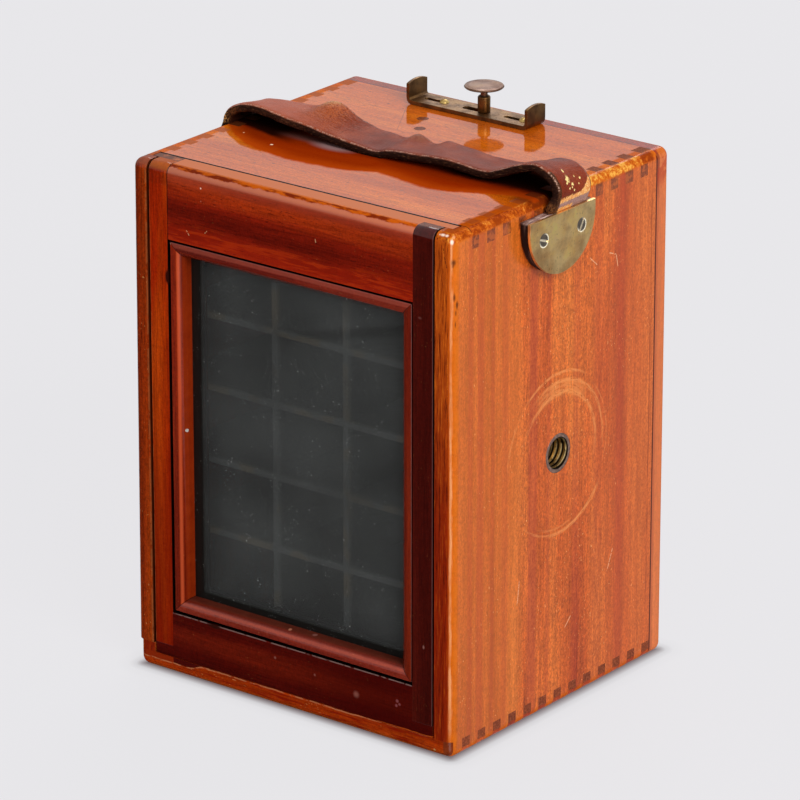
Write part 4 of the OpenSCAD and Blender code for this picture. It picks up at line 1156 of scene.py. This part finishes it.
def build_tab(side, plate):
    """The leather end under a D plate, its edge rounded and rough."""
    low, high = box_mm(plate)
    radius = (high[1] - low[1]) / 2
    centre_y = (high[1] + low[1]) / 2
    centre_z = low[2] + radius
    straight = high[2] - centre_z
    inner = HALF_W + 0.02
    outer = min(abs(low[0]), abs(high[0])) - 0.02

    def build(bm):
        rings = []
        for share, inset in TAB_PROFILE:
            x = side * (inner + (outer - inner) * share)
            ring = []
            for y, z in d_outline(radius - 0.15, straight):
                length = math.hypot(y, z)
                wobble = noise.noise(Vector((y * 0.5, z * 0.5, x * 0.7))) * 0.2
                factor = (length - inset - max(0, wobble)) / length
                ring.append((x, centre_y + y * factor, centre_z + z * factor))
            rings.append(ring)
        loft(bm, rings)
    return build


# Across the tab's thickness: share of it and how far the outline is set in
TAB_PROFILE = ((0, 0.35), (0.2, 0.1), (0.5, 0), (0.8, 0.1), (1, 0.4))

strap = mesh_object("leather_strap", build_strap, MATERIALS["leather"], "box")
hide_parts("strap")
for side, label in ((1, "right"), (-1, "left")):
    build = build_tab(side, "strap_plate_" + label)
    tab = mesh_object("strap_end_" + label, build, MATERIALS["leather_end"], "box")


def build_bush(bm):
    """The brass bush: a plain ring with a V thread inside."""
    low, high = box_mm("tripod_bush")
    centre_y, centre_z = (low[1] + high[1]) / 2, (low[2] + high[2]) / 2
    outer_r = (high[1] - low[1]) / 2
    crest, root, pitch = 4.2, 4.5, 1.6
    sides, rows = 96, 54
    face = high[0]
    depth = face - low[0] - 0.7

    def ring(x, radius_at):
        points = []
        for i in range(sides):
            angle = 2 * math.pi * i / sides
            radius = radius_at(angle)
            points.append((x, centre_y + radius * math.cos(angle), centre_z + radius * math.sin(angle)))
        return points

    def thread(x):
        def radius(angle):
            turn = ((face - x) / pitch + angle / (2 * math.pi)) % 1
            wave = 1 - abs(2 * turn - 1)
            ramp = min(1, (face - x) / 0.5)
            return root + (crest - root) * min(1, wave * 1.25) * ramp
        return radius

    rings = [ring(low[0], lambda a: outer_r), ring(face - 0.12, lambda a: outer_r),
             ring(face, lambda a: outer_r - 0.12), ring(face, lambda a: root + 0.12)]
    for i in range(rows + 1):
        x = face - 0.05 - (depth - 0.05) * i / rows
        rings.append(ring(x, thread(x)))
    rows_made = loft(bm, rings, cap=False)
    bm.faces.new(rows_made[-1])
    bm.faces.new(list(reversed(rows_made[0])))


bush = mesh_object("threaded_bush", build_bush, MATERIALS["bush"], "box", smooth=False)
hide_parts("tripod_bush")


def build_spring(bm):
    """The coil of thin wire under the button's collar."""
    low, high = box_mm("button_spring")
    wire, turns, per_turn, sides = 0.13, 4, 24, 10
    coil_r = (high[0] - low[0]) / 2 - wire
    middle_x, middle_y = (low[0] + high[0]) / 2, (low[1] + high[1]) / 2
    count = turns * per_turn
    rings = []
    for i in range(count + 1):
        turn = 2 * math.pi * i / per_turn
        rise = low[2] + wire + (high[2] - low[2] - 2 * wire) * i / count
        ring = []
        for j in range(sides):
            around = 2 * math.pi * j / sides
            away = coil_r + wire * math.cos(around)
            ring.append((middle_x + away * math.cos(turn), middle_y + away * math.sin(turn),
                         rise + wire * math.sin(around)))
        rings.append(ring)
    loft(bm, rings)


spring = mesh_object("button_coil", build_spring, MATERIALS["steel"], "box")
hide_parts("button_spring")
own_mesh(spring)


# Floor, light and camera

FLOOR_HALF = 30
FLOOR_TONE = (0.8, 0.8, 0.81, 1)
FLOOR_PLAIN_SHARE = 0.93
# How bright varnish and metal see the floor, and its brighter sectors: degrees round the front right corner
# where one starts, is fully bright and starts to fade, and how bright
MIRRORED_LEVEL = 0.03
MIRRORED_SIDES = ((30, 60, 140, 0.45), (-75, -60, -40, 3))
# The painted contact shadow where the box stands: how far inside its outline it starts, its reach and its
# tones
CONTACT_INSET = 1.5
CONTACT_REACH = 9
CONTACT_SHADOW_TONES = ((0, (122, 111, 113)), (0.16, (168, 162, 165)), (0.34, (214, 213, 216)),
                 (0.58, (229, 228, 231)), (1, BACKGROUND))


def floor_material():
    """Pale floor. The camera sees mostly the plain background colour, with a painted contact shadow close
    round the box where it stands. What varnish and metal see of the floor is darker and differs from side to
    side."""
    g = Graph("pale_floor")
    off_x = g.most(abs(g.x) - (HALF_W - CONTACT_INSET), 0)
    off_y = g.most(abs(g.y) - (HALF_D - CONTACT_INSET), 0)
    # Painted contact shadow: the plain colour darkens close round the box's outline
    contact = g.length(off_x, off_y) * (1 / CONTACT_REACH)
    plain = g.node("Emission", {"Color": g.ramp(contact, *CONTACT_SHADOW_TONES)})
    angle = g.math("ARCTAN2", g.y + HALF_D, g.x - HALF_W) * DEGREES
    level = MIRRORED_LEVEL
    for rise, top, fall, strength in MIRRORED_SIDES:
        level = g.step(angle, rise, top) * g.step(angle, fall + top - rise, fall) * strength + level
    mirrored = g.node("Emission", {"Strength": level})
    lit = g.node("BsdfDiffuse", {"Color": FLOOR_TONE})
    shown = g.node("LightPath", out="Is Camera Ray") * FLOOR_PLAIN_SHARE
    first = g.node("MixShader", {0: shown, 1: lit, 2: plain})
    second = g.node("MixShader", {0: g.node("LightPath", out="Is Glossy Ray"), 1: first, 2: mirrored})
    g.node("OutputMaterial", {"Surface": second})
    return g.owner


corners = [(-FLOOR_HALF, -FLOOR_HALF, 0), (FLOOR_HALF, -FLOOR_HALF, 0), (FLOOR_HALF, FLOOR_HALF, 0),
           (-FLOOR_HALF, FLOOR_HALF, 0)]
floor_mesh = bpy.data.meshes.new("floor")
floor_mesh.from_pydata(corners, [], [(0, 1, 2, 3)])
floor_mesh.materials.append(floor_material())
floor = add_object("floor", floor_mesh)

WORLD_LEVEL = 0.5
world = bpy.data.worlds.new("studio")
bpy.context.scene.world = world
g = Graph("studio", world)
bounced = g.node("LightPath", out="Is Glossy Ray") + g.node("LightPath", out="Is Transmission Ray")
direct = g.node("LightPath", out="Is Camera Ray")
seen = g.node("Math", {0: direct, 1: bounced}, operation="ADD", use_clamp=True)
soft = g.node("Background", {"Color": (1, 1, 1, 1), "Strength": WORLD_LEVEL})
shown = g.node("Background", {"Color": BACKGROUND, "Strength": 1})
g.node("OutputWorld", {"Surface": g.node("MixShader", {0: seen, 1: soft, 2: shown})})

# Name, place, target, size and power of each lamp
LAMPS = (
    ("key", (1.1, -0.5, 0.8), (0, 0, 0.07), (0.7, 0.7), 14),
    ("back", (-0.5, 1.1, 1.1), (0, 0, 0.1), (0.8, 0.6), 8),
)
for name, place, target, size, power in LAMPS:
    lamp = bpy.data.lights.new(name, "AREA")
    lamp.shape = "RECTANGLE"
    lamp.size, lamp.size_y = size
    lamp.energy = power
    aim(add_object(name, lamp), place, Vector(target) - Vector(place))

# The camera, worked out from the photograph's perspective
SENSOR_WIDTH = 36
LENS = 254.25
CAMERA_PLACE = (0.90249, -1.16456, 0.62524)
CAMERA_VIEW = (-0.5744, 0.7407, -0.3486)
camera_data = bpy.data.cameras.new("camera")
camera_data.sensor_width = SENSOR_WIDTH
camera_data.lens = LENS
camera = add_object("camera", camera_data)
aim(camera, CAMERA_PLACE, CAMERA_VIEW)
bpy.context.scene.camera = camera

bpy.context.scene.view_settings.view_transform = "Standard"
